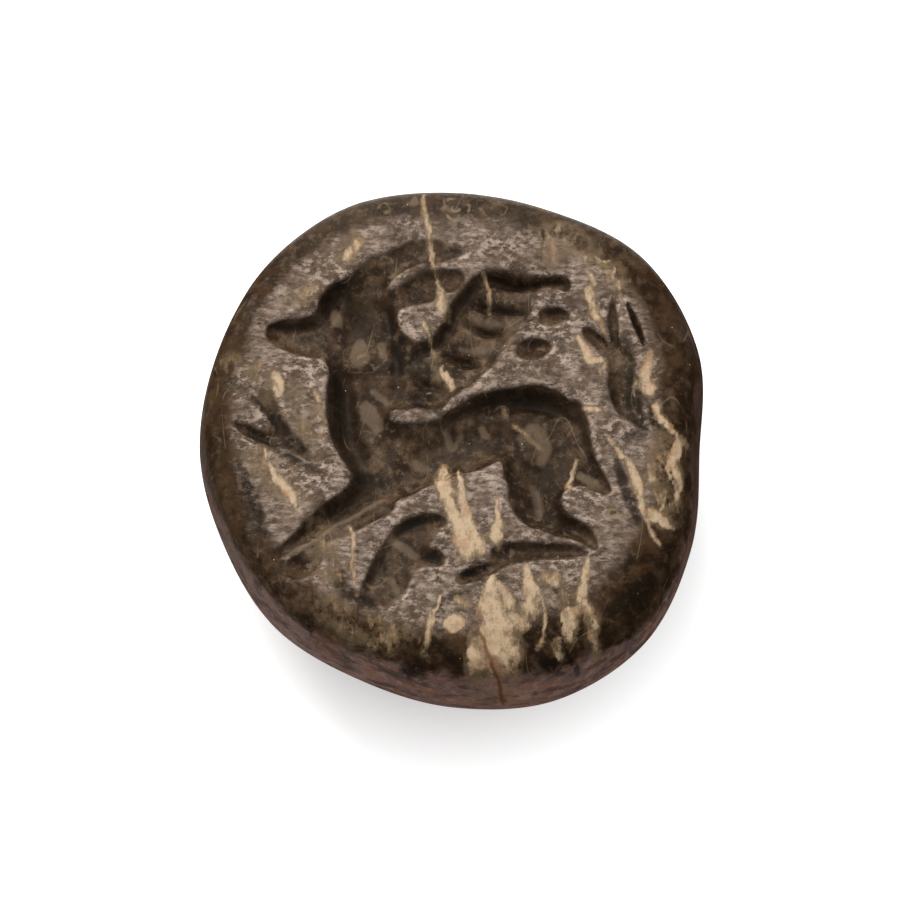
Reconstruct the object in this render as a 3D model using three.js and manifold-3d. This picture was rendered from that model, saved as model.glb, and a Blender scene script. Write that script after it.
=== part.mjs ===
// A stamp seal of hard stone, lying on its domed back with the engraved sealing face up.
// One pebble, ground to a flat face over a bulging side and a domed back, with a winged beast
// sunk into the face and a string hole bored through the back from side to side.
// Millimetres, +Z up, origin under the middle of the stone at the height of its lowest point.

import * as THREE from "three";
import { mergeVertices } from "three/addons/utils/BufferGeometryUtils.js";
import Module from "manifold-3d";

// The blank
const stoneWidth = 22;
const stoneLength = 23.1;
const stoneHeight = 11;
const girthHeight = 8;
const sideRadius = 8;
const rimRadius = 1;
const crownFlat = 5;
const faceShiftX = -0.2;
const faceShiftY = 0.15;

// The string hole, bored from both sides and worn wider at its mouths
const holeWidth = 2.3;
const holeMouth = 3;
const mouthDepth = 1.5;
const holeHeight = 4.3;

// The device and its deepest cut
const fieldMargin = 1;
const deepestCut = 1.3;

// How finely the round shapes are divided
const sidesAround = 64;
const stepsUpBack = 8;
const stepsUpSide = 2;
const stepsOverRim = 4;
const holeSides = 20;
const stepsPerSpan = 2;
const facetsAcrossCut = 5;

// The girth seen from above: its distance from the middle at even turns from +X,
// in hundredths of half the stone's width
const girthShape = [98.5, 106.5, 110, 105.5, 105, 107, 104.5, 101, 100, 98, 100, 99.5, 104, 109.5, 109.5, 103];

// The cuts of the device. Each is a run of points: across, up, half width and depth.
// The first three are in hundredths of half the drawing field, and the depth of the deepest cut.
const headCuts = {
  beak: [[-83, 46, 1, 4], [-77, 44, 4, 27], [-68, 43, 7.5, 46], [-58, 42, 9.5, 62], [-51, 44, 10.5, 70]],
  mouthLine: [[-78, 49, 1, 23], [-68, 48, 1.8, 54], [-57, 47, 2.2, 70]],
  brow: [[-47, 65, 5, 62], [-50, 59, 6, 80], [-54, 51, 4.5, 73]],
  skull: [[-47, 53, 10.5, 77], [-34, 49, 9.5, 70], [-26, 46, 6, 46]],
  nape: [[-35, 58, 5.5, 46], [-26, 50, 4.5, 38]],
  upperCrest: [
    [-44, 70, 2, 17], [-36, 78, 5, 27], [-23, 81, 6, 27],
    [-10, 84, 5, 23], [2, 84, 3, 17], [12, 85, 1.5, 8],
  ],
  lowerCrest: [[-39, 60, 4, 31], [-28, 64, 5, 31], [-16, 67, 6, 30], [-5, 70, 6, 27], [3, 70, 5, 23]],
};
const bodyCuts = {
  throat: [[-47, 39, 8.5, 73], [-45, 25, 8, 80], [-45, 9, 8, 88], [-41, -5, 8.5, 88], [-35, -17, 9.5, 85]],
  neck: [[-34, 37, 9.5, 54], [-31, 18, 10.5, 54], [-29, 2, 11.5, 58], [-25, -12, 12, 62]],
  body: [
    [-25, -13, 12, 70], [-12, -10, 13, 65], [2, -5, 14, 73],
    [15, 1, 16.5, 80], [28, 2, 17.5, 80], [41, 2, 17, 85],
  ],
  backLine: [[-2, 6, 3, 73], [10, 12, 4, 88], [23, 15, 4.5, 92], [39, 14, 5, 100], [49, 10, 5, 85]],
  rump: [[51, 13, 5.5, 62], [55, 0, 5, 58], [58, -12, 5, 54], [62, -21, 5, 46], [69, -29, 2, 15]],
};
const legCuts = {
  thigh: [[37, -12, 12.5, 80], [37, -26, 11, 73], [40, -38, 8, 65], [43, -44, 5, 46]],
  shank: [[44, -38, 4, 46], [54, -44, 4.5, 42], [64, -53, 2, 23]],
  hindFoot: [[64, -56, 2, 19], [52, -57, 4, 38], [34, -57, 5, 38], [20, -59, 4.5, 35]],
  sole: [[59, -54, 1.3, 31], [41, -54, 2.2, 50], [23, -55, 2.2, 46]],
  toe: [[20, -60, 4, 38], [12, -64, 3.5, 38], [5, -70, 2.5, 38]],
  outerForeleg: [
    [-34, -18, 9.5, 85], [-39, -28, 7, 85], [-51, -38, 5, 65], [-64, -47, 4, 46], [-78, -57, 2, 19],
  ],
  innerForeleg: [
    [-9, -20, 6, 54], [-22, -27, 5, 50], [-36, -35, 4, 42], [-49, -43, 3.5, 38], [-73, -58, 1.7, 19],
  ],
  forepaw: [[-76, -64, 2, 19], [-68, -63, 5, 35], [-58, -60, 5, 31], [-52, -56, 2, 15]],
  bentKnee: [[-2, -44, 3, 38], [-9, -44, 4, 46], [-19, -46, 4, 46], [-26, -52, 4, 42]],
  bentLeg: [[-29, -55, 4.5, 42], [-31, -64, 5.5, 46], [-34, -74, 5.5, 42], [-41, -80, 3, 23]],
  bentPaw: [[-22, -67, 3, 23], [-17, -61, 4, 31], [-10, -59, 4.5, 38], [-2, -59, 2.5, 27]],
};
const wingCuts = {
  shoulder: [[-26, 31, 7, 62], [-14, 30, 7, 62], [-6, 21, 5.5, 42]],
  underShoulder: [[-23, 14, 6.5, 42], [-12, 13, 5, 35], [-3, 15, 2, 19]],
  wingEdge: [[-12, 32, 5, 54], [-2, 38, 5, 58], [4, 48, 5, 62], [8, 58, 5, 62], [13, 68, 3.5, 46]],
  topFeather: [[14, 67, 7.5, 40], [26, 67, 8, 40], [39, 67, 6.5, 32], [53, 68, 3.5, 23]],
  secondFeather: [[9, 56, 5, 38], [21, 52, 5.5, 36], [35, 52, 4, 25]],
  thirdFeather: [[5, 45, 5, 38], [16, 41, 5, 33], [26, 41, 3.5, 20]],
  fourthFeather: [[0, 36, 4.5, 38], [8, 31, 4, 31], [18, 30, 3, 19]],
  lastFeather: [[-7, 27, 4.5, 38], [2, 22, 3.5, 31], [8, 20, 2, 15]],
  topQuill: [[16, 72, 1.8, 38], [28, 69, 2.2, 50], [41, 70, 1.8, 42], [51, 71, 1.5, 31]],
  secondQuill: [[7, 61, 1.8, 46], [15, 58, 1.8, 52], [26, 56, 1.7, 42], [37, 56, 1.2, 31]],
  thirdQuill: [[10, 48, 1.4, 38], [19, 45, 1.6, 40], [28, 44, 1.2, 23]],
  fourthQuill: [[-2, 36, 1.4, 38], [5, 32, 1.6, 42], [13, 32, 1.2, 27]],
  lastQuill: [[-16, 26, 1.7, 54], [-9, 21, 1.7, 50], [0, 19, 1.2, 31]],
};
const fieldCuts = {
  highLeaf: [[-86, 20, 2, 14], [-78, 13, 5.5, 27], [-70, 2, 6, 27], [-63, -7, 5, 23], [-56, -17, 2, 12]],
  lowLeaf: [[-96, 3, 1.7, 17], [-88, 0, 4, 31], [-77, -5, 5, 27], [-66, -10, 4, 23], [-58, -16, 1.7, 12]],
  highSeed: [[37, 52, 2, 12], [44, 53, 5, 31], [52, 54, 2, 12]],
  middleSeed: [[26, 37, 2, 12], [35, 38, 5, 35], [44, 39, 2, 12]],
  slantedSeed: [[56, 48, 2, 12], [64, 41, 4.5, 27], [71, 33, 2, 12]],
  smallSeed: [[21, 28, 1, 6], [24, 28, 2.2, 10], [28, 27, 1, 6]],
  stem: [
    [70, 62, 2, 19], [71, 49, 3.5, 31], [72, 35, 5, 32],
    [75, 21, 6.5, 32], [78, 9, 5.5, 28], [83, -2, 2.5, 14],
  ],
  stemSlit: [[76, 60, 1, 12], [80, 51, 1.7, 31], [83, 41, 1, 15]],
};

const wasm = await Module();
wasm.setup();

// A closed body through rings of points. The rings run along the body's path, and the points
// of each turn anticlockwise when seen from the far end.
function loft(rings) {
  const sides = rings[0].length;
  const positions = rings.flat().flatMap((point) => point.toArray());
  const faces = [];
  for (let ring = 0; ring < rings.length - 1; ring++) {
    for (let side = 0; side < sides; side++) {
      const a = ring * sides + side;
      const b = ring * sides + ((side + 1) % sides);
      faces.push(a, b, b + sides, a, b + sides, a + sides);
    }
  }
  const ends = [rings[0], rings[rings.length - 1]];
  ends.forEach((ring, end) => {
    const middle = new THREE.Vector3();
    ring.forEach((point) => middle.addScaledVector(point, 1 / sides));
    const hub = positions.length / 3;
    positions.push(...middle.toArray());
    const first = end * (rings.length - 1) * sides;
    for (let side = 0; side < sides; side++) {
      const a = first + side;
      const b = first + ((side + 1) % sides);
      faces.push(...(end ? [hub, a, b] : [hub, b, a]));
    }
  });
  const geometry = new THREE.BufferGeometry();
  geometry.setAttribute("position", new THREE.Float32BufferAttribute(positions, 3));
  geometry.setIndex(faces);
  return geometry;
}

function toSolid(geometry) {
  const merged = mergeVertices(geometry);
  return new wasm.Manifold(
    new wasm.Mesh({
      numProp: 3,
      vertProperties: new Float32Array(merged.attributes.position.array),
      triVerts: new Uint32Array(merged.index.array),
    })
  );
}

function toGeometry(solid) {
  const mesh = solid.getMesh();
  const geometry = new THREE.BufferGeometry();
  geometry.setAttribute("position", new THREE.BufferAttribute(mesh.vertProperties, 3));
  geometry.setIndex(new THREE.BufferAttribute(mesh.triVerts, 1));
  const shaded = geometry.toNonIndexed();
  shaded.computeVertexNormals();
  return shaded;
}

// The girth as a closed curve, stretched to the stone's width and length and centred on the origin
function girthOutline() {
  const corners = girthShape.map((reach, index) => {
    const turn = (index / girthShape.length) * 2 * Math.PI;
    return new THREE.Vector3(reach * Math.cos(turn), reach * Math.sin(turn), 0);
  });
  const curve = new THREE.CatmullRomCurve3(corners, true, "catmullrom");
  const points = Array.from({ length: sidesAround }, (_, side) => curve.getPoint(side / sidesAround));
  const box = new THREE.Box3().setFromPoints(points);
  const size = box.getSize(new THREE.Vector3());
  const middle = box.getCenter(new THREE.Vector3());
  const stretch = new THREE.Vector3(stoneWidth / size.x, stoneLength / size.y, 1);
  return points.map((point) => point.sub(middle).multiply(stretch));
}

// The back's half width at a height, as an ellipse from the girth down to the flat at the crown
const backSlant = Math.acos(crownFlat / stoneWidth);
const backDrop = girthHeight / Math.sin(backSlant);
function backHalfWidth(height) {
  return (stoneWidth / 2) * Math.sqrt(1 - ((girthHeight - height) / backDrop) ** 2);
}

// Half of the stone's section, from the crown up to the edge of the flat face
function blankProfile() {
  const half = stoneWidth / 2;
  const rimTurn = Math.asin((stoneHeight - girthHeight - rimRadius) / (sideRadius - rimRadius));
  const rimMiddle = half - sideRadius + (sideRadius - rimRadius) * Math.cos(rimTurn);
  const profile = [];
  for (let step = 0; step < stepsUpBack; step++) {
    const turn = backSlant * (1 - step / stepsUpBack);
    profile.push([half * Math.cos(turn), girthHeight - backDrop * Math.sin(turn)]);
  }
  for (let step = 0; step < stepsUpSide; step++) {
    const turn = (rimTurn * step) / stepsUpSide;
    profile.push([
      half - sideRadius + sideRadius * Math.cos(turn),
      girthHeight + sideRadius * Math.sin(turn),
    ]);
  }
  for (let step = 0; step <= stepsOverRim; step++) {
    const turn = rimTurn + ((Math.PI / 2 - rimTurn) * step) / stepsOverRim;
    profile.push([
      rimMiddle + rimRadius * Math.cos(turn),
      stoneHeight - rimRadius + rimRadius * Math.sin(turn),
    ]);
  }
  return profile;
}

// The blank is the girth outline carried up the profile, its face a little off the girth's middle
function makeBlank() {
  const outline = girthOutline();
  const rings = blankProfile().map(([reach, height]) => {
    const share = reach / (stoneWidth / 2);
    const rise = Math.max(0, (height - girthHeight) / (stoneHeight - girthHeight));
    const shift = rise ** 2;
    return outline.map(
      (point) =>
        new THREE.Vector3(point.x * share + faceShiftX * shift, point.y * share + faceShiftY * shift, height)
    );
  });
  return loft(rings);
}

// The string hole runs straight through the back along X, and its mouths flare
function makeStringHole() {
  const mouth = backHalfWidth(holeHeight);
  const stations = [
    [-stoneWidth, holeMouth],
    [-mouth, holeMouth],
    [mouthDepth - mouth, holeWidth],
    [mouth - mouthDepth, holeWidth],
    [mouth, holeMouth],
    [stoneWidth, holeMouth],
  ];
  const rings = stations.map(([along, width]) =>
    Array.from({ length: holeSides }, (_, side) => {
      const turn = (side / holeSides) * 2 * Math.PI;
      const reach = width / 2;
      return new THREE.Vector3(along, reach * Math.cos(turn), holeHeight + reach * Math.sin(turn));
    })
  );
  return loft(rings);
}

// The tool that sinks one cut: a trough with a rounded floor, whose width and depth follow the
// drawing and which rounds off to nothing past both ends of the run
const cutReach = 1.12;
const endSteps = [1.06, 0.65];
function makeCut(points) {
  const unit = (stoneWidth / 2 - fieldMargin) / 100;
  const depthUnit = deepestCut / 100;
  const path = new THREE.CatmullRomCurve3(points.map(([x, y]) => new THREE.Vector3(x * unit, y * unit, 0)));
  const tool = new THREE.CatmullRomCurve3(
    points.map(([, , half, depth]) => new THREE.Vector3(half * unit, depth * depthUnit, 0))
  );
  const up = new THREE.Vector3(0, 0, 1);
  const section = (at, past) => {
    const travel = path.getTangent(at);
    const side = up.clone().cross(travel);
    const { x: half, y: depth } = tool.getPoint(at);
    const middle = path.getPoint(at).addScaledVector(travel, past * half);
    const width = half * Math.sqrt(Math.max(0.05, 1 - past ** 2));
    return Array.from({ length: facetsAcrossCut + 1 }, (_, facet) => {
      const across = cutReach * ((2 * facet) / facetsAcrossCut - 1);
      const drop = depth * (1 - past ** 2) - depth * across ** 2 * Math.abs(1 - past ** 2);
      return middle.clone().addScaledVector(side, across * width).setZ(stoneHeight - drop);
    });
  };
  const spans = (points.length - 1) * stepsPerSpan;
  const rings = [
    ...endSteps.map((past) => section(0, -past)),
    ...Array.from({ length: spans + 1 }, (_, step) => section(step / spans, 0)),
    ...endSteps.toReversed().map((past) => section(1, past)),
  ];
  return loft(rings);
}

const stoneFinish = new THREE.MeshStandardMaterial({ color: 0x7d695c, roughness: 0.45, metalness: 0 });

function makeSealStone() {
  const cuts = [headCuts, bodyCuts, legCuts, wingCuts, fieldCuts].flatMap((part) => Object.values(part));
  let solid = toSolid(makeBlank()).subtract(toSolid(makeStringHole()));
  for (const points of cuts) {
    solid = solid.subtract(toSolid(makeCut(points)));
  }
  const mesh = new THREE.Mesh(toGeometry(solid), stoneFinish);
  mesh.name = "seal_stone";
  return mesh;
}

const group = new THREE.Group();
group.add(makeSealStone());

export default group;
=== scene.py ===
# A stamp seal of veined brown stone, lying on its domed back with the engraved face up.
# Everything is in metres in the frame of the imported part: +Z up, +X towards the beast's tail.
import math

import bpy
import numpy as np
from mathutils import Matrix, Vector


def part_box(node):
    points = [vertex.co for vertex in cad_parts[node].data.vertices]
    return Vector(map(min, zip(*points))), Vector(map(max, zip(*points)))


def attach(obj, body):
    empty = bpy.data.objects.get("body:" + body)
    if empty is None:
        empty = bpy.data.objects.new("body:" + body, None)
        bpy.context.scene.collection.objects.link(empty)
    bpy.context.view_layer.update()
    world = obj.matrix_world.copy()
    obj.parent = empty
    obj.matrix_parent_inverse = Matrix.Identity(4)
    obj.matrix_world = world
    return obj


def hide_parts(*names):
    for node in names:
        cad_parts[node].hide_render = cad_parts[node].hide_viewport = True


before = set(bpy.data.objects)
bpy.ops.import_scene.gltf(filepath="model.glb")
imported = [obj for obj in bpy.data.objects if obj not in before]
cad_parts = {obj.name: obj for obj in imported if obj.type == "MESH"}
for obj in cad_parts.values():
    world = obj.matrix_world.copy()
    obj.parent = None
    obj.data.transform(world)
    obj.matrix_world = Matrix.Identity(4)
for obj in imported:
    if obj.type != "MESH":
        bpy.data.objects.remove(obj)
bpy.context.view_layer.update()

# The seal stone: one pebble of dense brown limestone full of cream veins and shells. It was ground
# to a flat face, a round rim, a slightly bulging side and a domed back, the device was sunk into
# the face with small wheels and drills, a string hole was bored, and handling polished it.
MM = 0.001
low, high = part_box("seal_stone")
stone_width = high.x - low.x
stone_length = high.y - low.y
face_height = high.z
girth_height = 8 * MM
side_radius = 8 * MM
rim_radius = 1 * MM
crown_flat = 5 * MM
face_shift = (-0.2 * MM, 0.15 * MM)
# How far the girth reaches, in turn from +X all the way round
girth_shape = [
    98.5, 106.5, 110, 105.5, 105, 107, 104.5, 101, 100, 98, 100, 99.5, 104, 109.5, 109.5, 103,
]
curve_steps = 40
face_cells = 208
rings_up_back = 30
rings_up_side = 9
rings_over_rim = 11

# Towards the lower right the face is worn away most, so there it starts to fall further in.
worn_turn = math.radians(-62)
worn_spread = math.radians(75)
worn_depth = 0.42 * MM
worn_elsewhere = 0.12
worn_from = 0.74


# The device, a winged beast running to the left with plants and seeds round it. Across and up are
# in hundredths of half the drawing field, depths in hundredths of the deepest cut. A basin is a
# sunk outline with its depth and the width of its walls. A cut is a run of points with a half
# width and a depth at each. What is kept is drawn the same way and stays uncut, in hundredths.
field = stone_width / MM / 2 - 1
deepest_cut = 1.3
basins = {
    "front": (52, 4.8, [
        (-82, 44), (-81, 48), (-78, 50), (-73, 52), (-66, 52), (-61, 54), (-58, 57), (-57, 61),
        (-55, 65), (-51, 69), (-46, 71), (-43, 74), (-38, 78), (-31, 78), (-25, 73), (-26, 68),
        (-26, 63), (-24, 59), (-24, 54), (-23, 49), (-20, 45), (-16, 42), (-16, 36), (-19, 30),
        (-19, 21), (-22, 12), (-24, 9), (-26, 7), (-25, 5), (-22, 4), (-17, 3), (-16, -5),
        (-16, -19), (-14, -29), (-17, -31), (-23, -34), (-29, -38), (-33, -41), (-39, -44),
        (-44, -45), (-49, -48), (-53, -50), (-58, -52), (-65, -54), (-71, -58), (-75, -61),
        (-79, -62), (-83, -60), (-80, -57), (-75, -53), (-70, -49), (-65, -44), (-61, -39),
        (-57, -35), (-51, -31), (-47, -27), (-42, -23), (-43, -19), (-46, -15), (-50, -9),
        (-52, -4), (-52, 2), (-52, 9), (-52, 16), (-52, 24), (-54, 29), (-57, 32), (-60, 32),
        (-64, 33), (-68, 34), (-73, 36), (-77, 38), (-80, 41),
    ]),
    "upper_crest": (24, 3.1, [
        (-42, 75), (-39, 79), (-36, 82), (-30, 84), (-24, 87), (-18, 89), (-12, 90), (-6, 89),
        (-1, 87), (5, 86), (10, 84), (8, 82), (4, 79), (-1, 77), (-5, 76), (-10, 73), (-16, 70),
        (-23, 66), (-29, 64), (-36, 65), (-41, 70),
    ]),
    "lower_crest": (34, 3.5, [
        (-37, 62), (-34, 65), (-28, 66), (-23, 68), (-17, 72), (-12, 75), (-6, 76), (0, 76),
        (5, 74), (7, 70), (5, 66), (1, 63), (-4, 62), (-6, 60), (-9, 58), (-14, 57), (-19, 56),
        (-23, 54), (-26, 50), (-32, 50), (-37, 55),
    ]),
    "wing": (30, 3.9, [
        (12, 73), (17, 75), (23, 76), (30, 75), (37, 73), (42, 72), (47, 73), (51, 72), (53, 69),
        (52, 65), (48, 63), (43, 65), (39, 64), (37, 60), (36, 56), (33, 51), (30, 45), (26, 41),
        (23, 36), (20, 30), (16, 26), (13, 23), (10, 20), (6, 17), (3, 15), (0, 12), (-3, 9),
        (-6, 8), (-12, 9), (-18, 8), (-23, 8), (-27, 11), (-29, 18), (-28, 28), (-24, 34),
        (-20, 39), (-16, 42), (-12, 43), (-9, 43), (-5, 46), (-2, 51), (2, 57), (5, 62), (8, 69),
    ]),
    "body": (62, 5.2, [
        (-5, 6), (-2, 9), (4, 11), (8, 14), (13, 16), (19, 18), (26, 19), (31, 21), (39, 21),
        (45, 19), (50, 16), (53, 13), (55, 9), (58, 4), (59, -2), (60, -7), (61, -12), (65, -18),
        (68, -24), (70, -29), (67, -31), (62, -29), (58, -27), (54, -27), (49, -29), (47, -33),
        (49, -38), (53, -40), (57, -42), (61, -45), (63, -50), (65, -55), (62, -57), (58, -54),
        (52, -51), (46, -50), (41, -48), (34, -45), (30, -41), (28, -37), (28, -31), (26, -26),
        (23, -20), (22, -15), (19, -16), (15, -18), (10, -20), (5, -21), (-1, -23), (-6, -25),
        (-12, -28), (-17, -31), (-23, -31), (-29, -28), (-31, -19), (-28, -10), (-24, 1), (-21, 4),
        (-16, 4), (-12, 4), (-9, 5),
    ]),
    "forepaw": (30, 3.5, [
        (-75, -66), (-73, -63), (-70, -59), (-65, -57), (-60, -55), (-54, -52), (-54, -57),
        (-56, -63), (-60, -68), (-65, -70), (-71, -70),
    ]),
    "hind_foot": (36, 4.4, [
        (16, -58), (17, -54), (21, -52), (30, -51), (41, -52), (50, -52), (56, -53), (61, -56),
        (61, -59), (54, -60), (45, -61), (37, -62), (28, -63), (23, -65), (20, -67), (16, -69),
        (12, -71), (7, -72), (3, -72), (1, -70), (3, -66), (8, -63), (12, -61), (16, -60),
    ]),
    "bent_leg": (24, 5.2, [
        (-29, -51), (-26, -47), (-23, -44), (-18, -41), (-15, -39), (-10, -38), (-6, -38),
        (-2, -40), (-1, -43), (-2, -46), (-5, -49), (-7, -53), (-3, -55), (-2, -59), (-4, -64),
        (-8, -65), (-11, -65), (-15, -67), (-17, -72), (-19, -77), (-23, -82), (-28, -85),
        (-35, -84), (-40, -82), (-41, -78), (-40, -72), (-37, -65), (-34, -59), (-33, -55),
    ]),
    "leaves": (24, 5.2, [
        (-86, 19), (-82, 21), (-79, 19), (-75, 14), (-72, 8), (-70, 2), (-66, -3), (-63, -8),
        (-58, -13), (-53, -18), (-55, -19), (-61, -17), (-67, -14), (-73, -11), (-80, -9),
        (-87, -8), (-93, -4), (-96, 1), (-97, 4), (-93, 6), (-88, 4), (-82, 2), (-83, 7),
        (-85, 13),
    ]),
    "stem": (26, 4.4, [
        (68, 60), (71, 62), (73, 60), (74, 53), (74, 46), (75, 41), (80, 36), (82, 31), (81, 25),
        (82, 18), (84, 12), (86, 4), (88, -2), (85, -3), (80, 0), (75, 3), (71, 6), (69, 11),
        (68, 18), (70, 24), (70, 30), (68, 37), (68, 44), (67, 52),
    ]),
    "high_seed": (26, 3.5, [
        (36, 51), (38, 56), (44, 58), (48, 58), (52, 55), (53, 51), (49, 49), (43, 47), (38, 48),
    ]),
    "middle_seed": (34, 3.9, [
        (26, 37), (30, 41), (35, 43), (40, 43), (44, 40), (44, 36), (41, 33), (36, 31), (30, 32),
    ]),
    "small_seed": (18, 2.6, [
        (19, 27), (22, 30), (25, 30), (28, 28), (27, 25), (24, 24), (21, 24),
    ]),
    "slanted_seed": (28, 3.1, [
        (56, 46), (58, 49), (61, 48), (65, 45), (68, 42), (70, 37), (71, 33), (68, 32), (64, 35),
        (60, 39), (57, 42),
    ]),
}
cuts = {
    "muzzle": [
        (-80.3, 48.1, 1.3, 10), (-72.8, 48.4, 2.4, 24), (-65, 49, 2.8, 28), (-58, 50, 2.8, 20),
    ],
    "brow_pit": [(-46, 68, 3.1, 10), (-51, 63, 4.8, 30), (-54, 58, 5.2, 34), (-55, 53, 3.9, 20)],
    "temple": [(-44, 61, 6.6, 14), (-39, 54, 7.9, 18), (-44, 45, 7, 14)],
    "nape_pit": [(-31, 60, 3.5, 16), (-28, 55, 3.9, 26), (-26, 48, 3.5, 22)],
    "neck_groove": [
        (-51, 31, 3.9, 14), (-48, 23, 7, 36), (-48, 13, 7.9, 42), (-47, 3, 7.9, 42),
        (-44, -7, 7.4, 36), (-41, -15, 6.6, 28),
    ],
    "neck_side": [(-37, 26, 5.2, 10), (-35, 15, 5.7, 12), (-34, 3, 5.7, 10)],
    "breast": [(-39, -21, 6.1, 24), (-40, -27, 5.7, 24), (-44, -33, 4.4, 18)],
    "upper_foreleg": [
        (-37, -28, 4.4, 22), (-48, -34, 4.4, 26), (-58, -41, 3.9, 24), (-66, -49, 3.1, 20),
        (-72, -54.7, 2.2, 14), (-78.5, -58.9, 1.3, 6),
    ],
    "lower_foreleg": [
        (-26, -36.1, 2.2, 18), (-35.6, -41.7, 2.2, 20), (-44.4, -46.8, 2, 18),
        (-56.6, -51.9, 1.7, 18), (-66.3, -57.5, 1.7, 18), (-72.4, -62.2, 1.5, 10),
    ],
    "back_groove": [
        (-5, 2.5, 2.2, 12), (3, 8, 3.5, 22), (11, 12, 4.8, 28), (19, 14, 5.2, 32),
        (30, 15, 5.7, 34), (40, 14, 5.7, 32), (47, 11, 4.4, 22), (52, 6, 3.1, 12),
    ],
    "loin": [(-3, -8, 7, 6), (10, -4, 7.9, 8), (26, -5, 8.7, 8)],
    "rib_first": [(-5, 2.5, 1.3, 10), (-4.2, -3.1, 1.7, 18), (-3.3, -9.6, 1.3, 10)],
    "rib_second": [(0.7, 3.9, 1.3, 14), (1.5, -3.1, 2, 24), (2.4, -10.5, 1.3, 12)],
    "rib_third": [(5.9, 6.2, 1.3, 14), (7.2, -1.2, 2, 24), (8.5, -8.7, 1.3, 12)],
    "rib_fourth": [(12, 8.1, 1.3, 12), (11.2, 0.7, 1.7, 22), (12.9, -5.9, 1.3, 10)],
    "thigh": [(40, -12, 7.9, 10), (37, -24, 7, 12), (36, -35, 6.1, 10)],
    "flank": [(25, -15, 3.5, 14), (26, -26, 3.5, 20), (29, -37, 3.5, 20), (35, -43, 3.1, 12)],
    "tail_groove": [
        (54, 12, 3.5, 18), (57, 3, 3.5, 22), (59, -8, 3.5, 20), (62, -16, 3.1, 18),
        (66, -24, 2.6, 14), (69.3, -28.2, 1.7, 8),
    ],
    "hock": [(46, -28, 3.1, 12), (46, -36, 3.5, 18), (51, -43, 3.5, 16), (58, -48, 3.1, 10)],
    "sole": [
        (17.7, -56.6, 1.7, 8), (23.4, -54.7, 2.2, 14), (34.3, -54.3, 2.2, 16),
        (45.7, -54.3, 2.2, 14), (56.2, -55.2, 1.7, 8),
    ],
    "toe": [(14, -64, 2.6, 10), (9, -66, 3.1, 12), (4, -69, 2.6, 10)],
    "knee_groove": [
        (-3.3, -42.2, 2.2, 14), (-9, -41, 3.1, 22), (-16, -43, 3.5, 24), (-22, -46, 3.5, 20),
        (-26, -52, 3.5, 16), (-30, -59, 3.5, 22), (-33, -66, 3.5, 22), (-37, -73, 3.1, 16),
        (-40, -78, 2.6, 8),
    ],
    "paw_groove": [(-12, -59, 3.1, 12), (-7, -59, 3.9, 18), (-4, -61, 2.6, 10)],
    "shin_second": [(-18.2, -67.3, 1.7, 10), (-21.7, -72.4, 2.2, 12)],
    "wing_edge": [
        (-21, 29, 2.6, 12), (-14, 36, 3.1, 18), (-7, 40, 3.5, 26), (-2, 46, 3.9, 34),
        (2, 55, 3.9, 36), (6, 62, 3.9, 36), (11, 68, 3.5, 30),
    ],
    "top_groove": [
        (14, 71, 2.6, 26), (19, 70, 3.1, 40), (26, 68, 2.6, 44), (32.6, 67.5, 2, 44),
        (39.6, 68.4, 1.3, 40), (45.3, 69.3, 1.3, 34), (49.2, 68.6, 2.2, 26), (50.5, 65.8, 1.7, 14),
    ],
    "second_groove": [
        (6.3, 61.6, 2.2, 22), (11.6, 58.8, 2.4, 36), (17.7, 56.5, 2.2, 42), (24.7, 55.8, 1.7, 38),
        (30.8, 55.1, 1.5, 28), (35.2, 55.6, 1.3, 12),
    ],
    "third_groove": [
        (3.7, 50.5, 1.7, 18), (9.8, 48.1, 2, 30), (15.1, 45.8, 2.2, 44), (19.9, 45.3, 1.7, 32),
        (23, 44.9, 1.3, 12),
    ],
    "fourth_groove": [
        (-4.2, 35.6, 1.7, 22), (1.1, 33.7, 2.2, 38), (6.8, 32.1, 2.2, 38), (12, 30.4, 1.5, 20),
    ],
    "last_groove": [
        (-18, 29, 2.6, 20), (-14, 23, 2.8, 32), (-6.8, 20.2, 2.4, 32), (-1.1, 18.8, 1.7, 18),
    ],
    "shoulder_pit": [
        (-25, 37, 3.5, 16), (-23, 30, 3.9, 24), (-23, 21, 3.9, 22), (-24, 14, 3.5, 10),
    ],
    "shoulder_low": [(-17, 15, 3.5, 12), (-10, 13, 3.1, 12), (-4.2, 12.8, 2.2, 8)],
    "high_leaf": [
        (-82.9, 17.4, 2.2, 8), (-79, 12, 2.6, 12), (-75, 4, 2.6, 12), (-70, -4, 2.6, 10),
        (-62.8, -10.5, 2.2, 6),
    ],
    "low_leaf": [
        (-93.4, 2.5, 1.7, 10), (-88.1, -0.3, 2.4, 18), (-82.9, -3.1, 2.4, 14),
        (-76.8, -6.8, 2.2, 8),
    ],
    "stem_groove": [
        (69.8, 57.4, 2.2, 6), (70, 49, 2.6, 12), (71, 39, 2.6, 12), (70, 27, 2.8, 18),
        (71, 17, 3.1, 20), (75, 9, 3.1, 10),
    ],
    "slit": [
        (76.3, 58.8, 0.9, 16), (79, 53.3, 1.2, 36), (81.1, 47.7, 1.4, 42), (82.9, 42.1, 1.1, 36),
        (83.8, 38.8, 0.9, 14),
    ],
    "high_seed_line": [(39.1, 54.2, 1.3, 10), (44.4, 54.6, 2, 20), (50.1, 54.2, 1.3, 10)],
    "middle_seed_line": [(29.5, 39.3, 1.5, 12), (35.2, 40.2, 2.2, 24), (41.3, 39.3, 1.5, 12)],
    "slanted_line": [(58.4, 45.8, 1.7, 10), (63.2, 42.5, 2.2, 16), (67.6, 38.8, 1.7, 10)],
}
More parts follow.
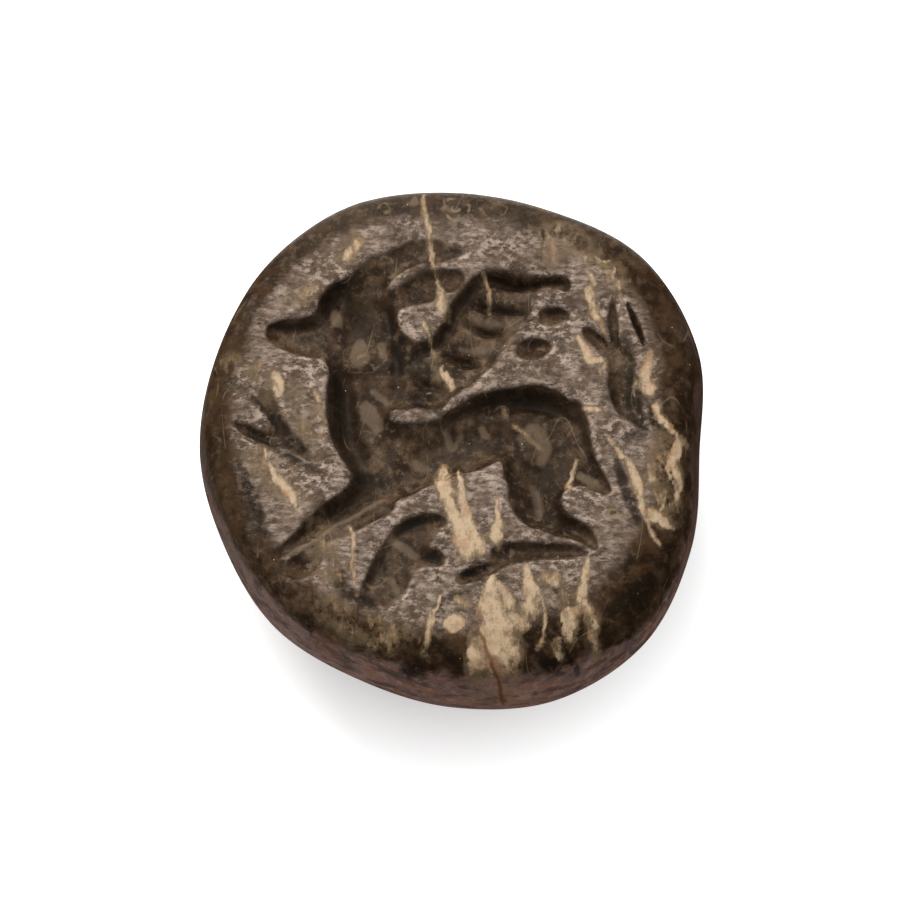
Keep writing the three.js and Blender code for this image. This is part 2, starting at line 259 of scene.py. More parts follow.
kept = {
    "crest_sliver": [
        (-26.9, 67.7, 1.3, 60), (-22, 71, 2.6, 100), (-16.8, 74.7, 2.2, 95), (-11.6, 77, 1.3, 60),
    ],
    "shoulder_fleck": [(-11.6, 16.5, 1.3, 70), (-9.4, 17.9, 2, 90), (-7.7, 16.5, 1.3, 70)],
    "foreleg_ridge": [
        (-29.5, -31.5, 1.3, 40), (-35.6, -35.2, 2, 55), (-42.2, -39.4, 2, 55),
        (-51.8, -44.5, 2, 50), (-61, -51.9, 1.5, 45), (-69.8, -57.1, 1.3, 30),
    ],
    "foot_ridge": [(23.4, -58.9, 1.1, 20), (34.3, -58.5, 1.3, 30), (47.5, -58, 1.3, 25)],
}

# A basin's floor is bowed: it falls fast near its wall and slowly on towards the middle. Both
# reaches are in widths of the wall.
fast_reach = 1.5
slow_reach = 3.5
fast_share = 0.6


def closed_curve(corners, steps):
    """Points along a smooth closed curve through the corners, as many steps between each two."""
    before, after, beyond = (np.roll(corners, -shift, axis=0) for shift in (-1, 1, 2))
    part = np.linspace(0, 1, steps, endpoint=False)[None, :, None]
    a, b, c, d = (points[:, None, :] for points in (before, corners, after, beyond))
    curve = 2 * b + (c - a) * part + (2 * a - 5 * b + 4 * c - d) * part**2
    curve = (curve + (3 * b - a - 3 * c + d) * part**3) / 2
    return curve.reshape(-1, 2)


def girth_reach(turns):
    """How far the girth is from the stone's middle, towards each turn in radians."""
    around = np.arange(len(girth_shape)) / len(girth_shape) * 2 * math.pi
    corners = np.array(girth_shape)[:, None] * np.stack([np.cos(around), np.sin(around)], 1)
    curve = closed_curve(corners, curve_steps)
    middle = (curve.max(0) + curve.min(0)) / 2
    size = np.array([stone_width, stone_length])
    curve = (curve - middle) * size / (curve.max(0) - curve.min(0))
    turn = np.arctan2(curve[:, 1], curve[:, 0])
    return np.interp(turns, turn, np.hypot(curve[:, 0], curve[:, 1]), period=2 * math.pi)


def blank_profile():
    """Reach, as a share of the girth's, and height, from the crown's edge up to the face's edge."""
    half = stone_width / 2
    slant = math.acos(crown_flat / stone_width)
    drop = girth_height / math.sin(slant)
    rim_turn = math.asin((face_height - girth_height - rim_radius) / (side_radius - rim_radius))
    rim_middle = half - side_radius + (side_radius - rim_radius) * math.cos(rim_turn)
    back = slant * (1 - np.arange(rings_up_back) / rings_up_back)
    side = rim_turn * np.arange(rings_up_side) / rings_up_side
    rim = rim_turn + (math.pi / 2 - rim_turn) * np.arange(rings_over_rim + 1) / rings_over_rim
    reach = [half * np.cos(back), half - side_radius + side_radius * np.cos(side)]
    reach.append(rim_middle + rim_radius * np.cos(rim))
    height = [girth_height - drop * np.sin(back), girth_height + side_radius * np.sin(side)]
    height.append(face_height - rim_radius + rim_radius * np.sin(rim))
    return np.concatenate(reach) / half, np.concatenate(height)


def worn_away(turns, inward):
    """How far the upper side has sunk by wear, from nothing inside to its full depth at the rim."""
    aside = np.abs((turns - worn_turn + math.pi) % (2 * math.pi) - math.pi) / worn_spread
    there = np.clip(1 - aside, 0, 1)
    there = there * there * (3 - 2 * there)
    edge = np.clip((inward - worn_from) / (1 - worn_from), 0, 1)
    return worn_depth * (worn_elsewhere + (1 - worn_elsewhere) * there) * edge**2


def sunk_by_basins(points):
    """How deep, in millimetres, the basins reach under points on the plane of the face."""
    depth = np.zeros(len(points))
    for deepest, wall, corners in basins.values():
        start = closed_curve(np.array(corners) * field / 100, 3)
        end = np.roll(start, -1, axis=0)
        within = ((points > start.min(0)) & (points < start.max(0))).all(1)
        near = points[within][:, None]
        span = end - start
        along = np.clip(((near - start) * span).sum(2) / (span**2).sum(1), 0, 1)
        aside = near - start - along[..., None] * span
        far = np.sqrt((aside**2).sum(2).min(1)) / (wall * field / 100)
        beside = (start[:, 1] > near[..., 1]) != (end[:, 1] > near[..., 1])
        slant = span[:, 0] / np.where(span[:, 1] == 0, 1, span[:, 1])
        left = near[..., 0] < start[:, 0] + (near[..., 1] - start[:, 1]) * slant
        inside = (beside & left).sum(1) % 2
        reaches = (fast_reach, slow_reach)
        fast, slow = (1 - (1 - np.clip(far / reach, 0, 1)) ** 2 for reach in reaches)
        sunk = inside * (fast_share * fast + (1 - fast_share) * slow)
        sunk = sunk * deepest * deepest_cut / 100
        depth[within] = np.maximum(depth[within], sunk)
    return depth


def put_in_scene(name, data):
    """The object that shows a mesh, lamp or camera."""
    placed = bpy.data.objects.new(name, data)
    bpy.context.scene.collection.objects.link(placed)
    return placed


def note_at_points(mesh, **noted):
    """Keeps one number for each point of a mesh, under each name."""
    for name, values in noted.items():
        mesh.attributes.new(name, "FLOAT", "POINT").data.foreach_set("value", values)


def make_blank():
    """The face is a square net of cells bent round, and its border goes on down as rings."""
    line = np.linspace(-1, 1, face_cells + 1)
    across, along = np.meshgrid(line, line)
    disk_x = across * np.sqrt(1 - along**2 / 2)
    disk_y = along * np.sqrt(1 - across**2 / 2)
    inward = np.hypot(disk_x, disk_y)
    turns = np.arctan2(disk_y, disk_x)
    shares, heights = blank_profile()
    reach = girth_reach(turns) * inward * shares[-1]
    face_x = reach * np.cos(turns) + face_shift[0]
    face_y = reach * np.sin(turns) + face_shift[1]
    face = np.stack([face_x, face_y, face_height - worn_away(turns, inward)], 2)
    count = face_cells + 1
    number = np.arange(count * count).reshape(count, count)
    cells = [number[:-1, :-1], number[:-1, 1:], number[1:, 1:], number[1:, :-1]]
    quads = [np.stack(cells, 2).reshape(-1, 4)]
    sides = [number[0, :-1], number[:-1, -1], number[-1, :0:-1], number[:0:-1, 0]]
    border = np.concatenate(sides)
    border_turns = turns.reshape(-1)[border]
    border_reach = girth_reach(border_turns)
    border_worn = worn_away(border_turns, np.ones_like(border_turns))
    points = [face.reshape(-1, 3)]
    fall = [(face_height - face[..., 2]).reshape(-1)]
    edge = [inward.reshape(-1)]
    upper = border
    used = count * count
    for share, height in zip(shares[-2::-1], heights[-2::-1]):
        rise = max(0.0, (height - girth_height) / (face_height - girth_height))
        ring_x = border_reach * share * np.cos(border_turns) + face_shift[0] * rise**2
        ring_y = border_reach * share * np.sin(border_turns) + face_shift[1] * rise**2
        ring_z = height - border_worn * rise
        points.append(np.stack([ring_x, ring_y, ring_z], 1))
        fall.append(face_height - ring_z)
        edge.append(np.ones_like(ring_z))
        lower = used + np.arange(len(border))
        used += len(border)
        quads.append(np.stack([upper, lower, np.roll(lower, -1), np.roll(upper, -1)], 1))
        upper = lower
    points.append(np.zeros((1, 3)))
    fall.append(np.array([face_height]))
    edge.append(np.ones(1))
    crown = [(int(a), used, int(b)) for a, b in zip(upper, np.roll(upper, -1))]
    mesh = bpy.data.meshes.new("seal_stone_carved")
    mesh.from_pydata(np.concatenate(points).tolist(), [], np.concatenate(quads).tolist() + crown)
    fall = np.concatenate(fall) / MM
    basin = np.zeros(len(fall))
    basin[:count * count] = sunk_by_basins(face[..., :2].reshape(-1, 2) / MM)
    note_at_points(mesh, fall=fall, edge=np.concatenate(edge), basin=basin)
    mesh.shade_smooth()
    return put_in_scene("seal_stone_carved", mesh)


stone = make_blank()

# Marks as the face shows them, drawn the same way, with a strength in place of the depth: the
# stone's cream veins, flames and shells; greyer pebbles; rusty spots and cracks; near black
# patches, partly dark stone and partly painted shade where the cuts and the rim lie in shadow; and
# where the flat is rubbed palest, with a painted sheen of the lamp on it.
cream_marks = {
    "left_haze": [(-96, 31, 7.1, 30), (-83, 24, 10.6, 30), (-68, 14, 9.4, 28), (-61, -8, 9.4, 28)],
    "left_low_haze": [
        (-86, -11, 8.3, 28), (-75, -24, 11.8, 38), (-66, -35, 10.6, 32), (-53, -61, 11.8, 30),
        (-53, -81, 10.6, 26), (-35, -93, 10.6, 38), (-24, -93, 9.4, 38),
    ],
    "top_haze": [(42, 89, 10.6, 38), (53, 87, 10.6, 34), (62, 83, 7.1, 22)],
    "crest_haze": [(-55, 76, 7.1, 24), (-44, 84, 7.1, 28)],
    "right_haze": [(92, -7, 9.4, 38), (92, -24, 10.6, 40), (93, -37, 10, 42)],
    "seed_haze": [(64, 76, 8.3, 36), (72, 71, 7.7, 36)],
    "hoof_haze": [(41, -72, 7.7, 42), (61, -85, 5.9, 24)],
    "top_vein": [
        (-12, 109, 1.5, 60), (-12, 101, 2, 70), (-10, 93, 2.1, 80), (-9, 83, 1.5, 66),
        (-7.2, 73.3, 1.3, 55), (-5, 64, 2.4, 60), (-4, 57, 4.1, 70), (-3, 52, 3.5, 50),
    ],
    "gold_thread": [
        (-12, 50, 1.2, 90), (-10, 44, 1.4, 85), (-8.1, 37.9, 1.3, 60), (-5.9, 32.3, 1.3, 45),
    ],
    "wing_blob": [(-4, 30, 2.1, 70), (-2, 25, 3, 85), (0, 20, 2.1, 60)],
    "crest_patch": [(-48, 78, 3, 45), (-44, 83, 4.1, 75), (-41, 87, 3.5, 70), (-43, 92, 2.4, 40)],
    "brow_patch": [(-72, 59, 4.7, 35), (-66, 61, 5.3, 42), (-59, 65, 4.7, 45)],
    "jaw_patch": [(-78, 26, 2.4, 70), (-75, 22, 4.1, 95), (-76, 16, 2.7, 75)],
    "jaw_fleck": [(-83, 31, 2.4, 45), (-82, 28, 2.4, 60)],
    "breast_streak": [(-63, 21, 1.5, 55), (-58, 14, 2.4, 60), (-57, 3, 3, 55), (-58, -5, 2.4, 40)],
    "left_streak": [
        (-81.1, -9.6, 1.2, 65), (-79, -16, 1.5, 80), (-76, -23, 3.5, 100), (-71, -28, 3.5, 100),
        (-68, -35, 2, 75),
    ],
    "leg_thread": [
        (-44.8, -43.1, 1.2, 75), (-42.6, -50.6, 1.2, 85), (-43.1, -60.8, 1.2, 85),
        (-42.2, -70.1, 1.2, 75), (-40.9, -76.2, 1.1, 45),
    ],
    "belly_left": [
        (-5, -21, 1.5, 70), (-4, -27, 3.5, 100), (-1, -35, 3.5, 100), (2, -42, 4.1, 100),
        (5, -50, 5.9, 100), (6, -56, 5.9, 90), (4, -61, 2.4, 50),
    ],
    "belly_right": [
        (2.8, -18.9, 1.2, 85), (4, -26, 2.4, 95), (5, -34, 3, 100), (7, -42, 3.5, 95),
        (10, -50, 5.3, 95), (13, -55, 4.7, 85),
    ],
    "belly_head": [(-3, -17, 4.1, 75), (-4, -23, 5.3, 80), (-2, -29, 4.7, 90)],
    "belly_small": [
        (19.5, -32.4, 1.2, 80), (20, -38, 1.5, 90), (20, -44, 3, 95), (19, -49, 3.8, 90),
        (20, -54, 2.4, 60),
    ],
    "great_flame": [
        (18, -69, 3, 80), (17, -75, 5.9, 95), (17, -81, 8.3, 90), (19, -89, 11.8, 95),
        (19, -97, 13, 92), (19, -105, 13.6, 80), (17, -110, 13, 50),
    ],
    "flame_foot": [(9, -96, 3, 65), (9, -103, 4.7, 85), (9, -108, 4.1, 65)],
    "flame_knob": [(20, -71, 2.4, 80), (24, -76, 3.5, 80), (26, -82, 3.5, 80)],
    "flame_bridge": [(26, -86, 4.7, 75), (30, -89, 4.7, 75), (33, -87, 3, 60)],
    "flame_horn": [
        (32, -62, 1.5, 85), (33, -70, 3.5, 100), (34, -77, 4.7, 95), (34, -83, 5.6, 75),
        (34, -89, 3.5, 50),
    ],
    "horn_thread": [
        (36.5, -72.9, 1.1, 75), (39.1, -78, 1.1, 85), (40.5, -84.1, 1.1, 85), (40, -90.6, 1.1, 85),
        (39.1, -96.2, 1.1, 75), (36.5, -99.9, 1.1, 55),
    ],
    "twin_stem": [(59, -59, 1.5, 70), (58, -65, 2.7, 90), (57, -71, 2.7, 90), (56, -77, 3.5, 85)],
    "twin_left": [(54, -82, 3.2, 75), (51, -85, 5, 90), (51, -90, 5, 90), (51, -95, 3, 60)],
    "twin_right": [(58, -79, 2.4, 80), (61, -87, 2.7, 65), (62, -94, 3, 55), (63, -101, 2.4, 40)],
    "drop": [(46, -95, 1.5, 50), (46, -99, 3, 65), (47, -104, 1.5, 50)],
    "round_shell": [(0, -89, 5, 150), (2, -89, 5, 150)],
    "shell_beside": [(3, -79, 3.2, 70), (6, -80, 3.5, 60)],
    "sole_cloud": [(41, -69, 4.7, 60), (45, -70, 5.3, 68)],
    "right_vein": [
        (68, -4, 1.5, 60), (71, -8, 2.1, 75), (74, -12, 2.4, 80), (78, -16, 2.4, 85),
        (79, -21, 2.7, 90), (81, -26, 3.2, 95), (82, -31, 3, 90), (83, -37, 2.1, 80),
        (85, -42, 1.5, 75), (87, -48, 1.5, 70), (90.3, -52.9, 1.2, 50),
    ],
    "right_upper": [
        (97, -1, 1.5, 75), (98, -6, 3, 95), (97, -11, 3.5, 100), (96, -15, 3.8, 95),
        (98, -20, 2.7, 100), (99, -25, 2.1, 90), (97.3, -31.5, 1.3, 70),
    ],
    "right_spot": [(100, -4, 2.7, 65), (102, -6, 2.4, 50)],
    "right_inner": [
        (90.3, -12.8, 1.2, 60), (93.4, -18, 1.2, 75), (95.6, -24, 1.3, 75), (96.9, -27.3, 1.2, 50),
    ],
    "right_lump": [(86, -37, 2.4, 75), (89, -40, 4.1, 95), (93, -43, 3.2, 80), (96, -44, 1.5, 50)],
    "right_marble": [(86, -17, 3, 50), (86, -22, 3.5, 65), (88, -25, 3, 50)],
    "right_stalk": [(92.5, -27.7, 1.2, 60), (92.5, -32.9, 1.3, 65), (91, -37, 1.5, 65)],
    "right_fleck": [(89, 11, 2.7, 80), (90, 7, 2.4, 75), (93, 3, 2.7, 85), (96, -1, 1.5, 75)],
    "stem_thread": [
        (80.3, 25.8, 1.1, 50), (79.4, 18.3, 1.2, 60), (79.4, 11.8, 1.2, 60), (81.6, 6.2, 1.1, 45),
    ],
    "seed_loop": [(58, 74.2, 1.3, 60), (61, 71, 2.4, 65), (62, 67, 2.4, 50)],
    "seed_streak": [
        (60, 65, 3, 80), (61, 60, 3.5, 85), (62, 55, 3, 75), (65, 49, 2.1, 65),
        (67.6, 43.5, 1.3, 45),
    ],
    "top_cloud": [
        (43, 78, 4.7, 36), (44, 85, 6.5, 42), (47, 93, 6.5, 40), (53, 88, 5.9, 38),
        (59, 81, 4.7, 30),
    ],
    "rim_arc": [(62.8, 79.8, 1.2, 55), (66.3, 77.5, 1.3, 65), (70.2, 78.9, 1.2, 55)],
    "rim_streak": [(71, 75, 1.5, 65), (71, 70, 2.7, 75), (73, 65, 1.5, 65), (74.6, 57.4, 1.1, 50)],
    "right_block": [(86, 35, 2.7, 65), (85, 30, 4.1, 80), (85, 23, 5, 90), (86, 18, 4.1, 85)],
    "seed_edge": [
        (55, 43, 1.5, 70), (58, 38, 2.7, 95), (61, 32, 3, 100), (66, 31, 2.1, 80),
        (65, 26, 1.5, 50),
    ],
    "rump_patch": [(58, 10, 1.5, 65), (63, 9, 2.1, 75), (68.5, 8.6, 1.3, 50)],
    "haunch_arc": [
        (22.5, 12.8, 1.2, 45), (25.6, 6.2, 1.3, 50), (31.7, 1.1, 1.3, 50), (38.7, -6.3, 1.2, 45),
    ],
    "tail_front": [(54, -12.4, 1.1, 60), (52.7, -18, 1.3, 75), (51, -24, 2, 75), (51, -28, 2, 55)],
    "wing_arc": [
        (13.8, 72.8, 1.1, 55), (16, 66.8, 1.2, 65), (16.4, 59.3, 1.2, 60), (16, 51.9, 1.1, 45),
    ],
    "trailing_line": [(26, 41.2, 1.1, 50), (23, 36, 1.2, 60), (20.3, 30.4, 1.1, 50)],
    "low_stem": [
        (-3.7, -75.2, 1, 75), (-6.3, -81.3, 1.3, 85), (-9, -87, 2.7, 80), (-10, -93, 2.1, 70),
        (-12, -102, 2.1, 50),
    ],
}
grey_marks = {
    "breast_oval": [(-37, 13, 3.9, 85), (-35, 8, 4.8, 90), (-32, 3, 3.5, 70)],
    "lip": [(-35, 20, 1.7, 60), (-31, 17, 2.2, 70), (-28, 13, 1.7, 55)],
    "muzzle_ring": [(-40, 42, 3.5, 70), (-40, 35, 5.2, 85)],
    "nape_pebble": [(-31, 41, 2.6, 85), (-30, 37, 2.6, 70)],
    "eye_pebble": [(-51, 57, 2.6, 60), (-50, 52, 3.1, 90)],
    "knee_pebble": [(-16, -14, 3.9, 60), (-12, -16, 3.5, 50)],
    "rib_pebble": [(13, 3, 2.2, 60), (15, 0, 2.2, 60)],
    "haunch_patch": [(30, -1, 3.5, 45), (36, 3, 3.9, 60), (40, -5, 4.8, 70), (39, -12, 3.9, 60)],
    "tail_patch": [(56, -20, 3.1, 55), (61, -24, 3.5, 65), (64, -28, 1.7, 40)],
    "calf": [(35, -24, 3.1, 40), (38, -33, 3.5, 50), (37, -38, 2.6, 40)],
    "feather_top": [(21, 63, 3.1, 30), (29, 62, 3.5, 36), (36, 63, 2.6, 26)],
    "feather_mid": [(8, 53, 2.2, 30), (15, 50, 3.1, 50), (21, 50, 2.6, 36)],
    "feather_low": [(4, 38, 2.2, 40), (12, 37, 3.1, 50), (18, 39, 2.6, 36)],
    "leg_ridge": [
        (-29.5, -31.5, 1.3, 50), (-36, -35, 2, 68), (-42, -39, 1.8, 68), (-52, -45, 1.7, 62),
        (-61, -52, 1.6, 62), (-68, -56, 1.5, 70), (-72.8, -58.5, 1.1, 50),
    ],
    "shank": [(-26, -51, 2.6, 60), (-21, -54, 3.5, 70), (-16, -58, 3.1, 60)],
    "knee_patch": [(-26, -69, 2.6, 60), (-24, -73, 2.6, 60)],
    "side_haze": [(32, -85, 3.9, 50), (35, -87, 3.5, 50)],
    "rib_light": [(-2, 0, 2.2, 50), (0, -6, 2.2, 60), (4, -1, 1.7, 40)],
    "stem_haze": [(79, 64, 2.6, 40), (85, 55, 2.2, 34), (88, 42, 2.6, 38), (92, 30, 2.6, 34)],
    "rim_haze": [(95, 17, 3.5, 38), (97, 10, 2.6, 34)],
    "bluish": [(85, -13, 3.1, 50), (88, -23, 3.5, 65), (89, -30, 3.1, 60)],
}
rust_marks = {
    "crest_spot": [(-44, 86, 1.7, 50), (-43, 84, 2.2, 70), (-43.5, 80.7, 1.3, 50)],
    "pebble_spot": [(-41, 41, 1.7, 40), (-40, 37, 2.2, 45)],
    "paw_spot": [(-68, -63, 1.7, 40), (-66, -62, 1.7, 45)],
    "knee_spot": [(-15, -60, 1.7, 30), (-12, -62, 2.2, 40), (-12, -65, 1.7, 30)],
    "flank_patch": [(-60, -90, 3.5, 40), (-55, -93, 4.8, 50), (-49, -96, 3.9, 40)],
    "flank_spot": [(-70, -78, 1.7, 30), (-67, -81, 2.2, 40)],
    "crack": [
        (13.3, -94.3, 1, 80), (15.1, -100.8, 1.2, 100), (17.3, -106.4, 1.3, 100),
        (19.5, -111.1, 1.3, 100), (22.5, -115.3, 1.2, 100), (26.5, -118.1, 1, 90),
    ],
    "crack_branch": [(9, -87.8, 1, 50), (12.9, -94.3, 1.3, 70), (16, -103, 1.7, 70)],
    "flame_stain": [(12, -98, 2.6, 55), (18, -105, 3.5, 60), (23, -108, 2.6, 50)],
}
# Near black patches: partly dark stone, partly painted shade where the cuts and the rim lie in
# shadow.
stain_and_shade_marks = {
    "under_flank": [(-22, -105, 3.1, 45), (-18, -107, 3.9, 65), (-12, -108, 3.5, 50)],
    "under_stem": [(-6, -99, 2.6, 60), (-2, -103, 3.5, 80), (2, -106, 3.1, 70)],
    "beside_flame": [
        (33, -95, 2.2, 70), (36, -101, 3.5, 95), (41, -105, 3.9, 90), (47, -107, 2.6, 60),
    ],
    "by_drop": [(44, -90, 1.7, 60), (50, -102, 1.7, 80), (54, -105, 2.6, 80)],
    "twin_gap": [(57.1, -84.1, 1.3, 70), (56, -91, 2, 90), (56, -98, 1.7, 80)],
    "corner_dark": [(68, -83, 5.2, 75), (77, -78, 7.4, 95), (86, -68, 5.7, 80)],
    "low_left_dark": [(-66, -82, 3.1, 45), (-61, -88, 3.1, 60)],
    "slit": [(77.2, 58.4, 1.1, 90), (80, 50, 1.6, 100), (83.3, 39.3, 1.1, 90)],
    "cheek_dark": [(-58, 45, 3.9, 65), (-52, 36, 3.9, 70)],
    "leaf_dark": [(-88, 15, 3.1, 60), (-79, 7, 3.9, 80), (-71, -3, 4.4, 80), (-63, -12, 3.9, 75)],
    "paw_floor": [(-72, -61, 3.5, 50), (-64, -59, 3.9, 60)],
    "leaf_low": [(-90, 1, 2.6, 50), (-77, -9, 3.1, 60), (-65, -16, 3.5, 60), (-58, -19, 2.6, 45)],
    "toe_dark": [(-5, -80, 3.5, 50), (15, -70, 2.6, 50), (24, -69, 2.6, 50)],
    "wing_dark": [(5, 60, 3.1, 55), (15, 62, 3.1, 60), (25, 56, 2.6, 45), (33, 52, 3.9, 80)],
    "left_rim": [(-92, -15, 3.1, 50), (-87, -31, 4.4, 80), (-80, -49, 3.5, 55)],
    "leg_gap": [
        (-59, -54, 4.4, 55), (-52, -61, 5.2, 60), (-45, -76, 5.7, 80), (-35, -80, 5.2, 75),
    ],
    "leaf_right": [(-73, 17, 3.5, 45), (-67, 7, 3.5, 45)],
    "nape_low": [(-30, 30, 3.9, 60), (-23, 31, 3.9, 70), (-12, 37, 4.4, 80)],
    "right_dark": [(82, 17, 3.5, 60), (87, 12, 4.4, 75), (89, 2, 4.4, 70)],
    "eye": [(-48, 67, 3.5, 70), (-44, 60, 3.5, 60), (-45, 52, 2.6, 50)],
    "nape_dark": [(-26, 48, 3.5, 65), (-23, 39, 4.4, 90), (-21, 30, 4.4, 80)],
    "shoulder_dark": [
        (-16, 37, 3.9, 75), (-11, 27, 3.9, 70), (-14, 13, 4.4, 60), (-6, 8, 3.9, 50),
    ],
    "throat_dark": [(-50, 25, 3.5, 60), (-48, 13, 3.9, 70), (-46, 0, 3.9, 60)],
    "breast_dark": [(-44, -21, 4.4, 80), (-36, -21, 5.2, 85), (-27, -24, 4.4, 60)],
    "back_dark": [(28, 16, 3.5, 50), (37, 13, 4.4, 60), (45, 10, 3.5, 50)],
    "hind_corner": [(4, -68, 2.2, 60), (6, -66, 2.6, 75), (10, -64, 2.6, 55)],
    "knee_dark": [(-23, -47, 2.6, 70), (-16, -42, 2.6, 85), (-6, -41, 2.2, 60)],
    "shin_dark": [(-29, -56, 2.6, 60), (-30, -64, 2.6, 60), (-30, -70, 2.2, 45)],
    "paw_dark": [(-12, -58, 2.2, 60), (-8, -59, 3.1, 80), (-5, -62, 2.2, 50)],
    "stem_foot": [
        (75, 46, 3.5, 45), (78, 32, 4.4, 55), (79, 21, 5.2, 65), (80, 9, 6.1, 80),
        (83, -1, 5.2, 60), (75, -5, 4.4, 50),
    ],
    "vein_side": [(71, -13, 2.6, 60), (74, -23, 3.5, 80), (77, -32, 3.9, 80), (81, -42, 3.1, 60)],
    "twin_side": [(46, -74, 3.9, 70), (49, -79, 3.5, 60)],
    "marble_dark": [(89, -17, 1.7, 60), (91, -24, 2.2, 70), (89, -30, 1.7, 60)],
    "cloud_side": [(40, 96.5, 1, 60), (39.6, 88.2, 1.3, 70), (39.1, 77.9, 1.1, 60)],
}
# Where the flat is palest: rubbed stone with a painted sheen of the lamp on it.
bare_and_sheen_marks = {
    "paw_side": [(-83, -75, 3.9, 60), (-74, -82, 3.9, 70)],
    "upper_left": [(-90, 62, 3.9, 90), (-94, 49, 3.9, 95), (-99, 38, 3.5, 80)],
    "brow": [(-83, 69, 4.4, 70), (-71, 74, 3.9, 55)],
    "crest_edge": [(-46, 71, 3.5, 90), (-36, 71, 3.5, 85), (-26, 71, 2.6, 60)],
    "cheek": [(-67, 30, 4.4, 85), (-59, 21, 5.7, 100), (-55, 10, 4.4, 100), (-55, -1, 3.5, 70)],
    "left_low": [
        (-74, -21, 5.2, 80), (-64, -24, 5.7, 95), (-53, -28, 5.2, 100), (-46, -21, 3.5, 80),
    ],
    "left_foot": [(-68, -38, 5.7, 85), (-58, -37, 3.9, 60)],
    "vein_gap": [(-21, -33, 3.5, 90), (-11, -30, 3.9, 100), (-7, -36, 3.1, 80)],
    "under_ribs": [
        (15, -22, 4.4, 90), (21, -28, 4.8, 100), (21, -39, 4.4, 80), (14, -38, 2.6, 60),
    ],
    "tail_side": [(59, 13, 3.1, 85), (60, 0, 3.9, 95), (62, -13, 3.9, 85)],
    "hock_side": [(43, -25, 2.6, 70), (50, -31, 3.9, 95), (53, -38, 3.5, 60)],
    "seed_top": [(75, 72, 3.1, 85), (78, 66, 2.6, 60)],
    "seed_gap": [(40, 36, 3.1, 80), (47, 34, 3.5, 70), (56, 22, 3.5, 75)],
    "wing_foot": [(-22, 45, 3.1, 80), (-12, 43, 3.5, 90)],
    "vein_foot": [(-11, 64, 3.5, 70), (-4, 61, 3.5, 80)],
    "right_top": [(88, 70, 3.9, 80), (94, 59, 3.9, 85), (95, 48, 2.6, 60)],
    "under_leg": [(-37, -90, 3.9, 80), (-28, -89, 4.4, 100), (-18, -87, 3.5, 60)],
    "shell_side": [(-5, -85, 3.1, 70), (5, -87, 3.1, 70)],
}


def line_object(name, lines, deepest):
    """Loose edges along each line, in millimetres on the plane of the face, with its half width
    and depth at every point. Each line runs on past both ends until it has rounded off."""
    points, edges, widths, depths = [], [], [], []
    scale = np.array([field, field, field, deepest]) / 100
    for line in lines.values():
        rows = [np.array(row) * scale for row in line]
        for end, inner in ((0, 1), (-1, -2)):
            tip = rows[end].copy()
            away = tip[:2] - rows[inner][:2]
            away = away / np.hypot(*away)
            for past in (0.65, 0.98):
                row = tip.copy()
                row[:2] = tip[:2] + away * tip[2] * past
                row[2] = tip[2] * math.sqrt(1 - past**2)
                row[3] = tip[3] * (1 - past**2)
                rows.insert(0 if end == 0 else len(rows), row)
        first = len(points)
        points += [(row[0], row[1], 0) for row in rows]
        edges += [(first + step, first + step + 1) for step in range(len(rows) - 1)]
        widths += [row[2] for row in rows]
        depths += [row[3] for row in rows]
    mesh = bpy.data.meshes.new(name)
    mesh.from_pydata(points, edges, [])
    note_at_points(mesh, half_width=widths, depth=depths)
    return put_in_scene(name, mesh)


def add(tree, kind, inputs=(), **settings):
    """One node with its settings and its inputs, each a value or another node's socket."""
    node = tree.nodes.new(kind)
    for name, value in settings.items():
        setattr(node, name, value)
    for key, value in dict(inputs).items():
        socket = node.inputs[key]
        if isinstance(value, bpy.types.NodeSocket):
            tree.links.new(value, socket)
        else:
            socket.default_value = value
    return node


def result(tree, kind, inputs=(), **settings):
    """What comes out first of one node made like that."""
    return add(tree, kind, inputs, **settings).outputs[0]


def reckon(tree, operation, *values, clamp=False):
    """The result of one math node."""
    inputs = dict(enumerate(values))
    return result(tree, "ShaderNodeMath", inputs, operation=operation, use_clamp=clamp)


def reckon_vector(tree, operation, *values):
    """The result of one vector math node."""
    return result(tree, "ShaderNodeVectorMath", dict(enumerate(values)), operation=operation)


def scaled(tree, vector, scale):
    """A vector made longer or shorter."""
    return result(tree, "ShaderNodeVectorMath", {0: vector, "Scale": scale}, operation="SCALE")


def coordinates(tree, vector):
    """A vector's three coordinates."""
    return add(tree, "ShaderNodeSeparateXYZ", {0: vector}).outputs


def vector_of(tree, x=0.0, y=0.0, z=0.0):
    """A vector with these coordinates."""
    return result(tree, "ShaderNodeCombineXYZ", {0: x, 1: y, 2: z})


def fade(tree, value, start, end):
    """Nothing up to the start, all from the end on, smooth between."""
    inputs = {0: value, 1: start, 2: end}
    return result(tree, "ShaderNodeMapRange", inputs, interpolation_type="SMOOTHSTEP")


def noise_of(tree, vector, scale, detail=4.0, roughness=0.5):
    """The noise texture at a vector, as a node with a grey and a coloured output."""
    inputs = {"Vector": vector, "Scale": scale, "Detail": detail, "Roughness": roughness}
    return add(tree, "ShaderNodeTexNoise", inputs)


def open_tree(name, kind, inputs, outputs):
    """A node tree with its named inputs and outputs, given as a name and a kind of socket each."""
    tree = bpy.data.node_groups.new(name, kind)
    for way, sockets in (("INPUT", inputs), ("OUTPUT", outputs)):
        for socket, of_kind in sockets:
            tree.interface.new_socket(socket, in_out=way, socket_type=f"NodeSocket{of_kind}")
    return tree, add(tree, "NodeGroupInput").outputs


def noted_before(tree, name):
    """The number that each point of the mesh holds under a name."""
    return result(tree, "GeometryNodeInputNamedAttribute", {"Name": name}, data_type="FLOAT")


